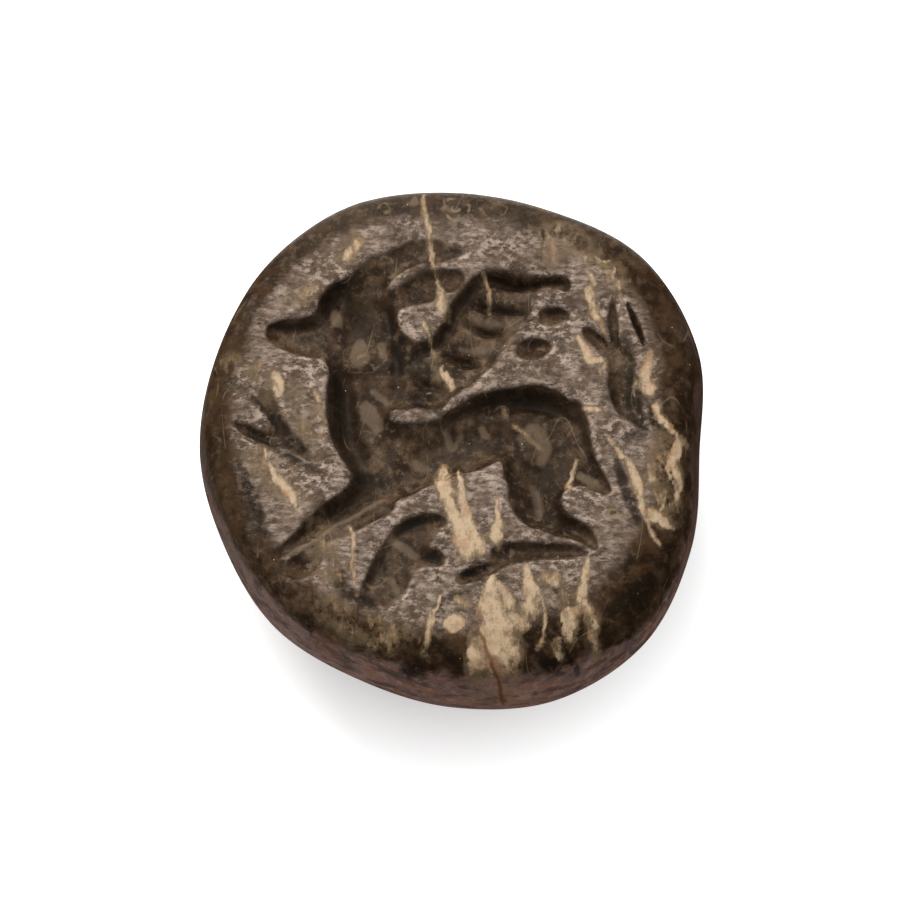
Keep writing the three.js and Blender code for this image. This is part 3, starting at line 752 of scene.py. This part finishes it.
def make_trough_group():
    """How deep, in millimetres, the troughs along an object's lines reach under each point. The
    points first wander a little, so that no edge comes out smoother than a hand makes it."""
    tree, given = open_tree(
        "trough_depth", "GeometryNodeTree",
        [("Lines", "Object"), ("Wander", "Float"), ("Wander Scale", "Float")], [("Depth", "Float")],
    )
    source = {"Object": given["Lines"]}
    lines = add(tree, "GeometryNodeObjectInfo", source, transform_space="ORIGINAL")
    curve = result(tree, "GeometryNodeMeshToCurve", {"Mesh": lines.outputs["Geometry"]})
    curve = result(tree, "GeometryNodeCurveSplineType", {"Curve": curve}, spline_type="CATMULL_ROM")
    fine = {"Geometry": curve, "Resolution": 7}
    curve = result(tree, "GeometryNodeSetSplineResolution", fine)
    width = noted_before(tree, "half_width")
    depth = noted_before(tree, "depth")
    place = result(tree, "GeometryNodeInputPosition")

    # The section is a parabola that runs a little past its own edges.
    past_edge = 1.1
    bar = {"Start": (-past_edge, 0, 0), "End": (past_edge, 0, 0)}
    bar = result(tree, "GeometryNodeCurvePrimitiveLine", bar)
    bar = result(tree, "GeometryNodeResampleCurve", {"Curve": bar, "Count": 17})
    along = coordinates(tree, place)[0]
    drop = reckon(tree, "SUBTRACT", 1.0, reckon(tree, "MULTIPLY", along, along))
    bent = {"Geometry": bar, "Position": vector_of(tree, along, drop)}
    section = result(tree, "GeometryNodeSetPosition", bent)
    sweep = {"Curve": curve, "Profile Curve": section, "Scale": width}
    swept = result(tree, "GeometryNodeCurveToMesh", sweep)
    stretch = vector_of(tree, 1.0, 1.0, reckon(tree, "DIVIDE", depth, width))
    deepened = {"Geometry": swept, "Position": reckon_vector(tree, "MULTIPLY", place, stretch)}
    trough = result(tree, "GeometryNodeSetPosition", deepened)

    # A ray from far below finds the lowest trough at each point.
    grown = scaled(tree, place, 1 / MM)
    noise = add(tree, "ShaderNodeTexNoise", {"Vector": grown, "Scale": given["Wander Scale"]})
    shift = reckon_vector(tree, "SUBTRACT", noise.outputs["Color"], (0.5, 0.5, 0.5))
    wandered = reckon_vector(tree, "ADD", grown, scaled(tree, shift, given["Wander"]))
    flat = reckon_vector(tree, "MULTIPLY", wandered, (1, 1, 0))
    far_below = 50.0
    ray = add(tree, "GeometryNodeRaycast", {
        "Target Geometry": trough, "Ray Direction": (0, 0, 1), "Ray Length": 2 * far_below,
        "Source Position": reckon_vector(tree, "ADD", flat, (0, 0, -far_below)),
    })
    hit = coordinates(tree, ray.outputs["Hit Position"])[2]
    down = reckon(tree, "MAXIMUM", reckon(tree, "SUBTRACT", 0.0, hit), 0.0)
    down = reckon(tree, "MULTIPLY", down, ray.outputs["Is Hit"])
    add(tree, "NodeGroupOutput", {"Depth": down})
    return tree


def make_bore_group():
    """The tool that bores the string hole: a round bar along X that widens at both mouths."""
    sizes = ("Height", "Width", "Mouth Width", "Mouth", "Mouth Depth", "Length")
    tree, given = open_tree(
        "string_hole_tool", "GeometryNodeTree", [(size, "Float") for size in sizes],
        [("Tool", "Geometry")],
    )
    half = reckon(tree, "DIVIDE", given["Length"], 2.0)
    start = vector_of(tree, reckon(tree, "SUBTRACT", 0.0, half), z=given["Height"])
    end = vector_of(tree, half, z=given["Height"])
    axis = result(tree, "GeometryNodeCurvePrimitiveLine", {"Start": start, "End": end})
    axis = result(tree, "GeometryNodeResampleCurve", {"Curve": axis, "Count": 121})
    place = result(tree, "GeometryNodeInputPosition")
    widening = {
        0: reckon(tree, "ABSOLUTE", coordinates(tree, place)[0]),
        1: reckon(tree, "SUBTRACT", given["Mouth"], given["Mouth Depth"]), 2: given["Mouth"],
        3: reckon(tree, "DIVIDE", given["Width"], 2.0),
        4: reckon(tree, "DIVIDE", given["Mouth Width"], 2.0),
    }
    radius = result(tree, "ShaderNodeMapRange", widening, interpolation_type="SMOOTHSTEP")
    ring = {"Resolution": 48, "Radius": 1.0}
    ring = result(tree, "GeometryNodeCurvePrimitiveCircle", ring)
    sweep = {"Curve": axis, "Profile Curve": ring, "Scale": radius, "Fill Caps": True}
    add(tree, "NodeGroupOutput", {"Tool": result(tree, "GeometryNodeCurveToMesh", sweep)})
    return tree


def make_carving_tree():
    """Bores the string hole, sinks the cuts into the face with their edges worn round, lets the
    face wander as a hand rubbed one does, and notes where each kind of mark lies."""
    marks = ("Cream", "Grey", "Rust", "Stain", "Bare")
    vein_waves, hand_waves, swell_waves = 2.3, 1.1, 0.45
    tool_overshoot = 1.3
    bore_sizes = {
        "Height": "Hole Height", "Width": "Hole Width", "Mouth Width": "Mouth Width",
        "Mouth": "Mouth", "Mouth Depth": "Mouth Depth",
    }
    sizes = ("Hand Wander", "Vein Wander", "Unevenness", "Girth Height", *bore_sizes.values())
    tree, given = open_tree(
        "carve_the_seal", "GeometryNodeTree",
        [("Blank", "Geometry"), ("Wear", "Int"), ("Stone", "Material")]
        + [(f"{name} Lines", "Object") for name in ("Cut", "Kept", *marks)]
        + [(size, "Float") for size in sizes],
        [("Geometry", "Geometry")],
    )
    bore_inputs = {name: given[size] for name, size in bore_sizes.items()}
    bore_inputs["Length"] = stone_width * tool_overshoot
    bore = result(tree, "GeometryNodeGroup", bore_inputs, node_tree=make_bore_group())
    bored = {"Mesh 1": given["Blank"], "Mesh 2": bore}
    bored = add(
        tree, "GeometryNodeMeshBoolean", bored, operation="DIFFERENCE", solver="MANIFOLD",
    )
    geometry = bored.outputs["Mesh"]

    place = result(tree, "GeometryNodeInputPosition")
    below_girth = reckon(tree, "SUBTRACT", given["Girth Height"], 1 * MM)
    above = fade(tree, coordinates(tree, place)[2], below_girth, given["Girth Height"])
    troughs = make_trough_group()
    depth = {}
    for name in ("Cut", "Kept", *marks):
        wander = ("Vein Wander", vein_waves) if name in marks else ("Hand Wander", hand_waves)
        inputs = {"Lines": given[f"{name} Lines"], "Wander": given[wander[0]]}
        inputs["Wander Scale"] = wander[1]
        reached = result(tree, "GeometryNodeGroup", inputs, node_tree=troughs)
        depth[name] = reckon(tree, "MULTIPLY", reached, above)
    sunk = reckon(tree, "ADD", depth["Cut"], noted_before(tree, "basin"))
    uncut = reckon(tree, "SUBTRACT", 1.0, depth["Kept"], clamp=True)
    sunk = reckon(tree, "MULTIPLY", sunk, uncut)
    sunk = reckon(tree, "SUBTRACT", sunk, noted_before(tree, "fall"))
    sunk = reckon(tree, "MAXIMUM", sunk, 0.0)
    worn, crisp = (
        result(tree, "GeometryNodeBlurAttribute", {0: sunk, "Iterations": count}, data_type="FLOAT")
        for count in (given["Wear"], 1)
    )
    noted = {mark.lower(): depth[mark] for mark in marks}
    noted.update(cut=worn, crisp=crisp, groove=depth["Cut"])
    for name, value in noted.items():
        geometry = result(
            tree, "GeometryNodeStoreNamedAttribute",
            {"Geometry": geometry, "Name": name, "Value": value}, data_type="FLOAT", domain="POINT",
        )

    swell = noise_of(tree, scaled(tree, place, 1 / MM), swell_waves, 4.0, 0.55).outputs["Fac"]
    swell = reckon(tree, "MULTIPLY", reckon(tree, "MULTIPLY", swell, given["Unevenness"]), above)
    down = reckon(tree, "MULTIPLY", reckon(tree, "ADD", worn, swell), -MM)
    moved = {"Geometry": geometry, "Offset": vector_of(tree, z=down)}
    geometry = result(tree, "GeometryNodeSetPosition", moved)
    geometry = result(tree, "GeometryNodeRealizeInstances", {0: geometry})
    dressed = {"Geometry": geometry, "Material": given["Stone"]}
    add(tree, "NodeGroupOutput", {"Geometry": result(tree, "GeometryNodeSetMaterial", dressed)})
    return tree


def make_patch_group():
    """Turns a mark's soft strength into a ragged, fibrous patch, with noise inside its edge."""
    values = ("Strength", "Scale", "Raggedness", "From", "To")
    tree, given = open_tree(
        "ragged_patch", "ShaderNodeTree",
        [("Vector", "Vector")] + [(value, "Float") for value in values], [("Mask", "Float")],
    )
    drawn = reckon_vector(tree, "MULTIPLY", given["Vector"], (1.25, 0.6, 1))
    coarse = noise_of(tree, drawn, given["Scale"], 5.0, 0.62).outputs["Fac"]
    swing = reckon(tree, "SUBTRACT", coarse, 0.5)
    swing = reckon(tree, "MULTIPLY", swing, given["Raggedness"])
    swing = reckon(tree, "MULTIPLY", swing, fade(tree, given["Strength"], 0.0, 0.15))
    ragged = reckon(tree, "ADD", given["Strength"], swing)
    add(tree, "NodeGroupOutput", {"Mask": fade(tree, ragged, given["From"], given["To"])})
    return tree


def make_scratch_group():
    """Fine streaks that run one way: their height, from 0 to 1."""
    tree, given = open_tree(
        "scratches", "ShaderNodeTree",
        [("Vector", "Vector"), ("Turn", "Float"), ("Across", "Float"), ("Along", "Float")],
        [("Height", "Float")],
    )
    turn = {"Vector": given["Vector"], "Axis": (0, 0, 1), "Angle": given["Turn"]}
    turned = result(tree, "ShaderNodeVectorRotate", turn)
    stretch = vector_of(tree, given["Along"], given["Across"], 1.0)
    drawn = reckon_vector(tree, "MULTIPLY", turned, stretch)
    streaks = noise_of(tree, drawn, 1.0, 5.0, 0.66).outputs["Fac"]
    add(tree, "NodeGroupOutput", {"Height": fade(tree, streaks, 0.40, 0.60)})
    return tree


def make_shell_group():
    """A shell cut through by the face: broken pale rings that fade out at its reach."""
    tree, given = open_tree(
        "shell_rings", "ShaderNodeTree",
        [("Vector", "Vector"), ("Middle", "Vector"), ("Reach", "Float"), ("Spacing", "Float")],
        [("Mask", "Float")],
    )
    wobble = noise_of(tree, given["Vector"], 1.1, 4.0).outputs["Fac"]
    bent = reckon(tree, "MULTIPLY", reckon(tree, "SUBTRACT", wobble, 0.5), 0.9)
    apart = reckon_vector(tree, "SUBTRACT", given["Vector"], given["Middle"])
    apart = reckon_vector(tree, "MULTIPLY", apart, (1, 1.15, 0))
    far = add(tree, "ShaderNodeVectorMath", {0: apart}, operation="LENGTH").outputs["Value"]
    far = reckon(tree, "ADD", far, bent)
    turns = reckon(tree, "MULTIPLY", reckon(tree, "DIVIDE", far, given["Spacing"]), 2 * math.pi)
    line = fade(tree, reckon(tree, "SINE", turns), 0.2, 1.0)
    broken = noise_of(tree, given["Vector"], 1.9, 3.0).outputs["Fac"]
    line = reckon(tree, "MULTIPLY", line, fade(tree, broken, 0.38, 0.62))
    outside = fade(tree, reckon(tree, "DIVIDE", far, given["Reach"]), 0.8, 1.1)
    inside = reckon(tree, "SUBTRACT", 1.0, outside)
    add(tree, "NodeGroupOutput", {"Mask": reckon(tree, "MULTIPLY", line, inside)})
    return tree


def empty_tree(owner):
    """The node tree of a material or world, with nothing in it yet."""
    owner.use_nodes = True
    owner.node_tree.nodes.clear()
    return owner.node_tree


def make_stone_look():
    """Dense olive brown limestone: cream veins and shells in it, a pale rubbed flat with a painted
    sheen, dark smooth cuts with painted shade, a dark worn rim with painted sheen at the lower left
    and back, and a duller red brown side and back, painted lighter on the front."""
    material = bpy.data.materials.new("veined_limestone")
    tree = empty_tree(material)
    place = add(tree, "ShaderNodeTexCoord").outputs["Object"]
    grown = scaled(tree, place, 1 / MM)

    def attribute(name):
        return add(tree, "ShaderNodeAttribute", attribute_name=name).outputs["Fac"]

    def noise(scale, detail=4.0, roughness=0.6, stretch=(1, 1, 1)):
        drawn = grown if stretch == (1, 1, 1) else reckon_vector(tree, "MULTIPLY", grown, stretch)
        return noise_of(tree, drawn, scale, detail, roughness).outputs["Fac"]

    def chain(operation, values):
        total = values[0]
        for value in values[1:]:
            total = reckon(tree, operation, total, value)
        return total

    def times(*values):
        return chain("MULTIPLY", values)

    def plus(*values):
        return chain("ADD", values)

    def less(value, taken):
        return reckon(tree, "SUBTRACT", value, taken)

    def without(value):
        return less(1.0, value)

    def rising(value, start, end):
        return fade(tree, value, start, end)

    def falling(value, start, end):
        return without(rising(value, start, end))

    def blend(mask, under, over):
        tones = [
            tone if isinstance(tone, bpy.types.NodeSocket) else (*tone, 1) for tone in (under, over)
        ]
        inputs = {0: mask, 6: tones[0], 7: tones[1]}
        return add(tree, "ShaderNodeMix", inputs, data_type="RGBA").outputs[2]

    def layered(ground, *layers):
        for mask, tone in layers:
            ground = blend(mask, ground, tone)
        return ground

    def effect(group, inputs):
        return result(tree, "ShaderNodeGroup", {"Vector": grown, **inputs}, node_tree=group)

    patch_group = make_patch_group()

    def patch(strength, scale, raggedness, start, end):
        return effect(patch_group, {
            "Strength": strength, "Scale": scale, "Raggedness": raggedness,
            "From": start, "To": end,
        })

    scratch_group = make_scratch_group()

    def scratches(turn, across, along):
        return effect(scratch_group, {"Turn": math.radians(turn), "Across": across, "Along": along})

    # Where the flat, the rim, the side and the cuts are
    cut = attribute("cut")
    broad = noise(0.35, 3.0, 0.5)
    middle = noise(1.1, 6.0, 0.62)
    fine = noise(5.5, 5.0, 0.6)
    ragged = less(middle, 0.5)
    across, along, up = coordinates(tree, grown)
    fall = reckon(tree, "MAXIMUM", attribute("fall"), times(falling(up, 7.0, 8.0), 4.0))
    left_side = falling(across, -9.0, -1.0)
    front_half = falling(along, -9.0, -1.0)
    left_band = times(left_side, falling(along, -5.0, 1.0), 0.8)
    front = reckon(tree, "ADD", falling(along, -11.0, -8.5), left_band, clamp=True)
    swing = times(less(broad, 0.5), without(front_half), 6.0)
    side = rising(plus(fall, times(ragged, 1.6), times(front, 0.9), swing), 1.5, 2.3)
    border = less(plus(attribute("edge"), times(ragged, 0.12)), times(left_side, 0.02))
    sunken = plus(fall, times(ragged, 0.12))
    inner = times(falling(border, 0.93, 1.02), falling(sunken, 0.06, 0.24))
    uncut = falling(plus(attribute("crisp"), times(ragged, 0.3)), 0.03, 0.20)
    flat = times(inner, uncut)
    # Where the cuts are deepest and along the line cuts; both carry painted shade
    deep = rising(cut, 0.40, 1.20)
    groove = times(rising(attribute("groove"), 0.02, 0.36), rising(cut, 0.05, 0.3))
    # How steeply the cut walls stand, where painted shade is laid on them
    upright = coordinates(tree, add(tree, "ShaderNodeNewGeometry").outputs["Normal"])[2]
    wall = times(rising(without(upright), 0.05, 0.45), rising(cut, 0.05, 0.2))
    # Along the lip of each cut the flat is painted paler: partly rubbed wear, partly a painted
    # highlight
    lip = times(rising(cut, 0.004, 0.03), flat)

    # The rubbed flat: near level streaks in some places, a blotchy net of pale specks in others
    streaks = scratches(4, 4.0, 1.7)
    crossed = scratches(-28, 5.0, 3.0)
    net = rising(noise(3.0, 7.0, 0.72, (0.85, 1.25, 1)), 0.45, 0.56)
    hatched = rising(noise(0.5, 3.0, 0.5), 0.46, 0.60)
    rubbed = blend(times(hatched, 0.8), net, streaks)
    rubbed = plus(times(rubbed, 0.80), times(crossed, 0.20))
    # Where the flat is palest: rubbed wear, and a painted sheen of the lamp
    bare = plus(0.28, times(rising(noise(0.75, 6.0, 0.65), 0.40, 0.56), 0.55))
    # The lip of each cut adds a painted highlight, partly rubbed wear
    bare = plus(bare, times(rising(attribute("bare"), 0.0, 0.8), 0.60), times(lip, 0.25))

    # The dark polish of the cuts, mottled pale and near black, with painted shade where they are
    # deepest and along the line cuts
    dark_polish, brown_polish = (0.025, 0.0145, 0.008), (0.092, 0.056, 0.032)
    pale_mottle, pale_cloud = (0.185, 0.130, 0.085), (0.150, 0.104, 0.070)
    dark_mottle, dark_cloud = (0.021, 0.0125, 0.007), (0.022, 0.013, 0.0075)
    painted_deep_shade, painted_groove_shade = (0.017, 0.0095, 0.005), (0.014, 0.008, 0.004)
    mottle = noise(2.4, 7.0, 0.72)
    colour = layered(
        blend(rising(middle, 0.40, 0.62), dark_polish, brown_polish),
        (times(rising(mottle, 0.52, 0.62), 0.70), pale_mottle),
        (times(rising(broad, 0.50, 0.62), 0.30), pale_cloud),
        (times(falling(mottle, 0.38, 0.48), 0.75), dark_mottle),
        (times(falling(broad, 0.42, 0.50), 0.35), dark_cloud),
        # Painted shade, darker where the cuts are deepest and along the line cuts
        (times(deep, 0.60), painted_deep_shade), (times(groove, 0.66), painted_groove_shade),
    )

    # The flat between them, where rubbing has left it pale and a sheen of the lamp is painted on it
    worn_dark, worn_brown = (0.056, 0.036, 0.023), (0.110, 0.075, 0.050)
    # The pale of the flat: rubbed stone, and a painted sheen of the lamp
    rubbed_pale_and_sheen = (0.50, 0.39, 0.32)
    worn = blend(rising(middle, 0.34, 0.66), worn_dark, worn_brown)
    worn = blend(times(rubbed, bare), worn, rubbed_pale_and_sheen)
    # Painted shade on the steep walls of the cuts
    painted_wall_shade = (0.016, 0.0095, 0.006)
    colour = layered(colour, (flat, worn), (times(wall, 0.35), painted_wall_shade))

    # The worn rim, with a painted reflection of the floor that makes it lighter at the lower left
    # and a painted sheen along the back
    rim_dark, rim_brown = (0.021, 0.0115, 0.006), (0.066, 0.039, 0.022)
    rim_rust, rim_left_sheen = (0.072, 0.034, 0.014), (0.130, 0.085, 0.055)
    rim_mottle, rim_back_sheen = (0.120, 0.082, 0.050), (0.150, 0.108, 0.064)
    # The lower left and the back of the rim, where the painted reflection and sheen go
    low_left = times(left_side, falling(along, -8.0, -4.0))
    back_rim = rising(along, 5.0, 9.5)
    rim = layered(
        blend(rising(middle, 0.38, 0.66), rim_dark, rim_brown),
        (times(low_left, rising(mottle, 0.40, 0.60), 0.6), rim_left_sheen),
        (times(rising(noise(0.8, 5.0, 0.6), 0.54, 0.70), 0.5), rim_rust),
        (times(rising(mottle, 0.50, 0.70), 0.5), rim_mottle),
        (times(back_rim, rising(mottle, 0.48, 0.62), 0.30), rim_back_sheen),
    )
    colour = blend(times(rising(border, 0.92, 1.0), without(deep)), colour, rim)

    # The side and back: dull brown, and banded red brown on the front half, partly the stone's own
    # tone and partly painted light where the lamp behind leaves it in shade, with a painted
    # reflection of the floor on the left
    dull_brown, dull_grey = (0.105, 0.058, 0.040), (0.062, 0.041, 0.033)
    dull_dark, red_brown = (0.050, 0.036, 0.034), (0.245, 0.125, 0.088)
    red_grey, red_left_sheen = (0.160, 0.104, 0.094), (0.250, 0.180, 0.165)
    red_mottle = (0.340, 0.240, 0.200)
    bands = rising(noise(0.6, 7.0, 0.7, (1, 1, 2)), 0.42, 0.58)
    dark_bands = rising(noise(0.8, 7.0, 0.7, (1, 1, 2)), 0.48, 0.62)
    # The red front: partly the stone's red brown, partly painted light; its left part a painted
    # reflection of the floor
    red_patina_and_front_light = layered(
        blend(bands, red_brown, red_grey), (times(left_side, 0.7), red_left_sheen),
        (times(rising(mottle, 0.46, 0.66), 0.6), red_mottle),
    )
    dull = layered(
        blend(bands, dull_brown, dull_grey),
        (reckon(tree, "MAXIMUM", front_half, times(front, 0.8)), red_patina_and_front_light),
        (times(dark_bands, 0.7), dull_dark),
    )
    colour = blend(side, colour, dull)

    # Hair veins and bright specks
    hair_tone, speck_tone = (0.23, 0.17, 0.105), (0.52, 0.47, 0.39)
    hair = reckon(tree, "ABSOLUTE", less(noise(0.5, 0.0, 0.5, (1.5, 0.5, 1)), 0.5))
    hair = times(falling(hair, 0.002, 0.012), rising(noise(0.7, 3.0), 0.45, 0.62))
    cells = add(tree, "ShaderNodeTexVoronoi", {"Vector": grown, "Scale": 2.6}).outputs
    chosen = rising(coordinates(tree, cells["Color"])[0], 0.93, 0.95)
    specks = times(falling(cells["Distance"], 0.05, 0.11), chosen)
    colour = layered(colour, (times(hair, 0.5), hair_tone), (times(specks, 0.8), speck_tone))

    # Pebbles, near black patches of dark stone and painted shade, cream veins with their halo,
    # shells and rust
    pebble, stain_and_shade_tone = (0.165, 0.118, 0.080), (0.013, 0.009, 0.006)
    halo_tone, shell_tone = (0.205, 0.145, 0.086), (0.27, 0.20, 0.11)
    cream_dark, cream_pale = (0.225, 0.152, 0.088), (0.60, 0.45, 0.30)
    cream_gold, cream_grey = (0.40, 0.22, 0.105), (0.33, 0.27, 0.21)
    rust_brown, rust_dark = (0.180, 0.084, 0.046), (0.100, 0.032, 0.010)
    grey = patch(attribute("grey"), 1.6, 0.7, 0.10, 0.65)
    # Near black patches, partly dark stone and partly painted shade in the cuts and on the rim
    stain = patch(attribute("stain"), 1.5, 0.6, 0.15, 0.75)
    spared = times(rising(mottle, 0.50, 0.60), 0.5)
    strength = attribute("cream")
    halo = times(rising(strength, 0.0, 0.32), rising(noise(1.3, 6.0, 0.68), 0.40, 0.60))
    fibres = less(noise(2.6, 7.0, 0.72, (1.4, 0.8, 1)), 0.5)
    lively = plus(strength, times(fibres, 2.6))
    cream_tone = layered(
        blend(rising(lively, 0.25, 1.0), cream_dark, cream_pale),
        (times(rising(noise(1.5, 5.0, 0.7), 0.50, 0.64), 0.5), cream_gold),
        (times(rising(noise(1.9, 5.0, 0.7), 0.54, 0.66), 0.5), cream_grey),
    )
    cream = times(patch(strength, 2.4, 2.1, 0.26, 0.74), without(times(side, 0.85)))
    # The near black patches lay painted shade on the cuts and the rim, and partly show dark stone
    colour = layered(
        colour, (times(grey, 0.65), pebble), (times(stain, without(spared), 0.85), stain_and_shade_tone),
        (times(halo, 0.60), halo_tone), (times(cream, 0.95), cream_tone),
    )
    shell_group = make_shell_group()
    shells = [
        (0.15, 10.3, 0.85, 0.45), (1.75, 10.3, 0.6, 0.5), (6.45, 7.6, 0.9, 0.9),
        (-2.9, 10.3, 0.7, 0.75), (-3.9, 3.55, 0.8, 0.7), (6.95, -3.85, 0.7, 0.6),
    ]
    for x, y, reach, spacing in shells:
        shell = effect(shell_group, {"Middle": (x, y, 0), "Reach": reach, "Spacing": spacing})
        colour = blend(times(shell, 0.8), colour, shell_tone)
    rust = attribute("rust")
    rust_tone = blend(rising(rust, 0.55, 0.95), rust_brown, rust_dark)
    colour = blend(times(patch(rust, 1.8, 0.9, 0.2, 0.7), 0.75), colour, rust_tone)

    # Relief too fine for the mesh
    relief = plus(
        times(fine, 0.5), times(noise(16.0, 3.0), 0.25),
        times(flat, bare, rubbed, without(cream), 0.9), times(middle, 0.8),
    )
    bump = {"Height": relief, "Strength": 0.8, "Distance": 0.06 * MM}
    bump = result(tree, "ShaderNodeBump", bump)

    gloss = plus(0.42, times(flat, 0.14))
    gloss = reckon(tree, "ADD", gloss, times(less(fine, 0.5), 0.25), clamp=True)
    sheen = times(falling(border, 0.82, 1.0), without(side), 0.06)
    sheen = plus(sheen, times(rising(along, 7.0, 10.5), 0.10))
    shader = result(tree, "ShaderNodeBsdfPrincipled", {
        "Base Color": colour, "Roughness": gloss, "Normal": bump, "IOR": 1.5,
        "Specular IOR Level": sheen,
    })
    add(tree, "ShaderNodeOutputMaterial", {"Surface": shader})
    return material


line_objects = {"Cut Lines": line_object("cut_lines", cuts, deepest_cut)}
uncut_and_marks = {
    "Kept": kept, "Cream": cream_marks, "Grey": grey_marks, "Rust": rust_marks,
    "Stain": stain_and_shade_marks, "Bare": bare_and_sheen_marks,
}
for name, lines in uncut_and_marks.items():
    line_objects[f"{name} Lines"] = line_object(f"{name.lower()}_lines", lines, 1.0)
carving = stone.modifiers.new("carving", "NODES")
carving.node_group = make_carving_tree()
settings = {
    "Hand Wander": 0.10, "Vein Wander": 0.28, "Unevenness": 0.14, "Wear": 4,
    "Girth Height": girth_height, "Hole Height": 4.3 * MM, "Hole Width": 2.3 * MM,
    "Mouth Width": 3 * MM, "Mouth": 9.6 * MM, "Mouth Depth": 1.5 * MM, "Stone": make_stone_look(),
}
for item in carving.node_group.interface.items_tree:
    if item.in_out == "INPUT" and item.name != "Blank":
        carving[item.identifier] = {**line_objects, **settings}[item.name]
bpy.context.view_layer.update()
carved = bpy.data.meshes.new_from_object(
    stone.evaluated_get(bpy.context.evaluated_depsgraph_get())
)
stone.modifiers.clear()
stone.data = carved
carved.name = "seal_stone_carved"
carved.set_sharp_from_angle(angle=math.radians(50))
for lines in line_objects.values():
    bpy.data.objects.remove(lines)
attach(stone, "root")
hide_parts("seal_stone")

# The ground: a plain white floor. It is white wherever the camera looks past the stone's soft
# shadow, which it keeps only close round the stone.
floor_half = 0.6
paper_whites = (0.78, 0.80)
shadow_from, shadow_to = 8.5 * MM, 12 * MM
glow_near, glow_far = 0.42, 0.80


def seen_directly(tree):
    """Whether a ray comes from the camera, straight, off a glossy surface or through glass."""
    rays = add(tree, "ShaderNodeLightPath").outputs
    seen = reckon(tree, "MAXIMUM", rays["Is Camera Ray"], rays["Is Glossy Ray"])
    return reckon(tree, "MAXIMUM", seen, rays["Is Transmission Ray"])


floor_corners = [(-1, -1), (1, -1), (1, 1), (-1, 1)]
floor_points = [(x * floor_half, y * floor_half, 0) for x, y in floor_corners]
floor_mesh = bpy.data.meshes.new("floor")
floor_mesh.from_pydata(floor_points, [], [(0, 1, 2, 3)])
floor = put_in_scene("floor", floor_mesh)
floor_look = bpy.data.materials.new("white_ground")
floor_tree = empty_tree(floor_look)
from_middle = add(floor_tree, "ShaderNodeTexCoord").outputs["Object"]
far_out = add(floor_tree, "ShaderNodeVectorMath", {0: from_middle}, operation="LENGTH")
paper_grain = add(floor_tree, "ShaderNodeTexNoise", {"Vector": from_middle, "Scale": 900.0})
paper = {0: paper_grain.outputs["Fac"]}
for socket, white in zip((6, 7), paper_whites):
    paper[socket] = (white, white, white, 1)
paper = add(floor_tree, "ShaderNodeMix", paper, data_type="RGBA").outputs[2]
ground = result(floor_tree, "ShaderNodeBsdfDiffuse", {"Color": paper})
lift = {0: far_out.outputs["Value"], 1: shadow_from, 2: shadow_to, 3: glow_near, 4: glow_far}
lift = result(floor_tree, "ShaderNodeMapRange", lift)
lift = reckon(floor_tree, "MULTIPLY", lift, seen_directly(floor_tree))
glow = result(floor_tree, "ShaderNodeEmission", {"Strength": lift})
both = result(floor_tree, "ShaderNodeAddShader", {0: ground, 1: glow})
add(floor_tree, "ShaderNodeOutputMaterial", {"Surface": both})
floor_mesh.materials.append(floor_look)

# The light: one broad soft lamp high behind the stone, so that its flat shines towards the camera
# and its cuts stay dark, in a white room.
room_light = 0.40
lamp_side = 0.16
lamp_power = 0.60
lamp_place = (-0.065, 0.14, 0.197)
world = bpy.data.worlds.new("white_room")
bpy.context.scene.world = world
world_tree = empty_tree(world)
whites = [
    result(world_tree, "ShaderNodeBackground", {"Color": (1, 1, 1, 1), "Strength": strength})
    for strength in (room_light, 1.0)
]
choice = {0: seen_directly(world_tree), 1: whites[0], 2: whites[1]}
choice = result(world_tree, "ShaderNodeMixShader", choice)
add(world_tree, "ShaderNodeOutputWorld", {"Surface": choice})
lamp_data = bpy.data.lights.new("soft_box", "AREA")
lamp_data.shape = "RECTANGLE"
lamp_data.size = lamp_side
lamp_data.size_y = lamp_side
lamp_data.energy = lamp_power
lamp_data.color = (1, 0.96, 0.90)
lamp = put_in_scene("soft_box", lamp_data)
lamp.location = lamp_place
lamp.rotation_euler = Vector(lamp_place).to_track_quat("Z", "Y").to_euler()

# The camera looks down at the stone from the front, 70 degrees above the table, with a long lens.
elevation = math.radians(70)
photo_pixels = 900
stone_pixels = 502
lens = 600
sensor = 36
aim = Vector((-0.07 * MM, 1.0 * MM, 5.5 * MM))
view_width = stone_width * photo_pixels / stone_pixels
back = Vector((0, -math.cos(elevation), math.sin(elevation)))
camera_data = bpy.data.cameras.new("camera")
camera_data.lens = lens
camera_data.sensor_width = sensor
camera_data.clip_start = 0.01
camera_data.clip_end = 10
camera = put_in_scene("camera", camera_data)
camera.location = aim + back * view_width * lens / sensor
camera.rotation_mode = "QUATERNION"
camera.rotation_quaternion = back.to_track_quat("Z", "Y")
bpy.context.scene.camera = camera
bpy.context.scene.view_settings.view_transform = "Standard"
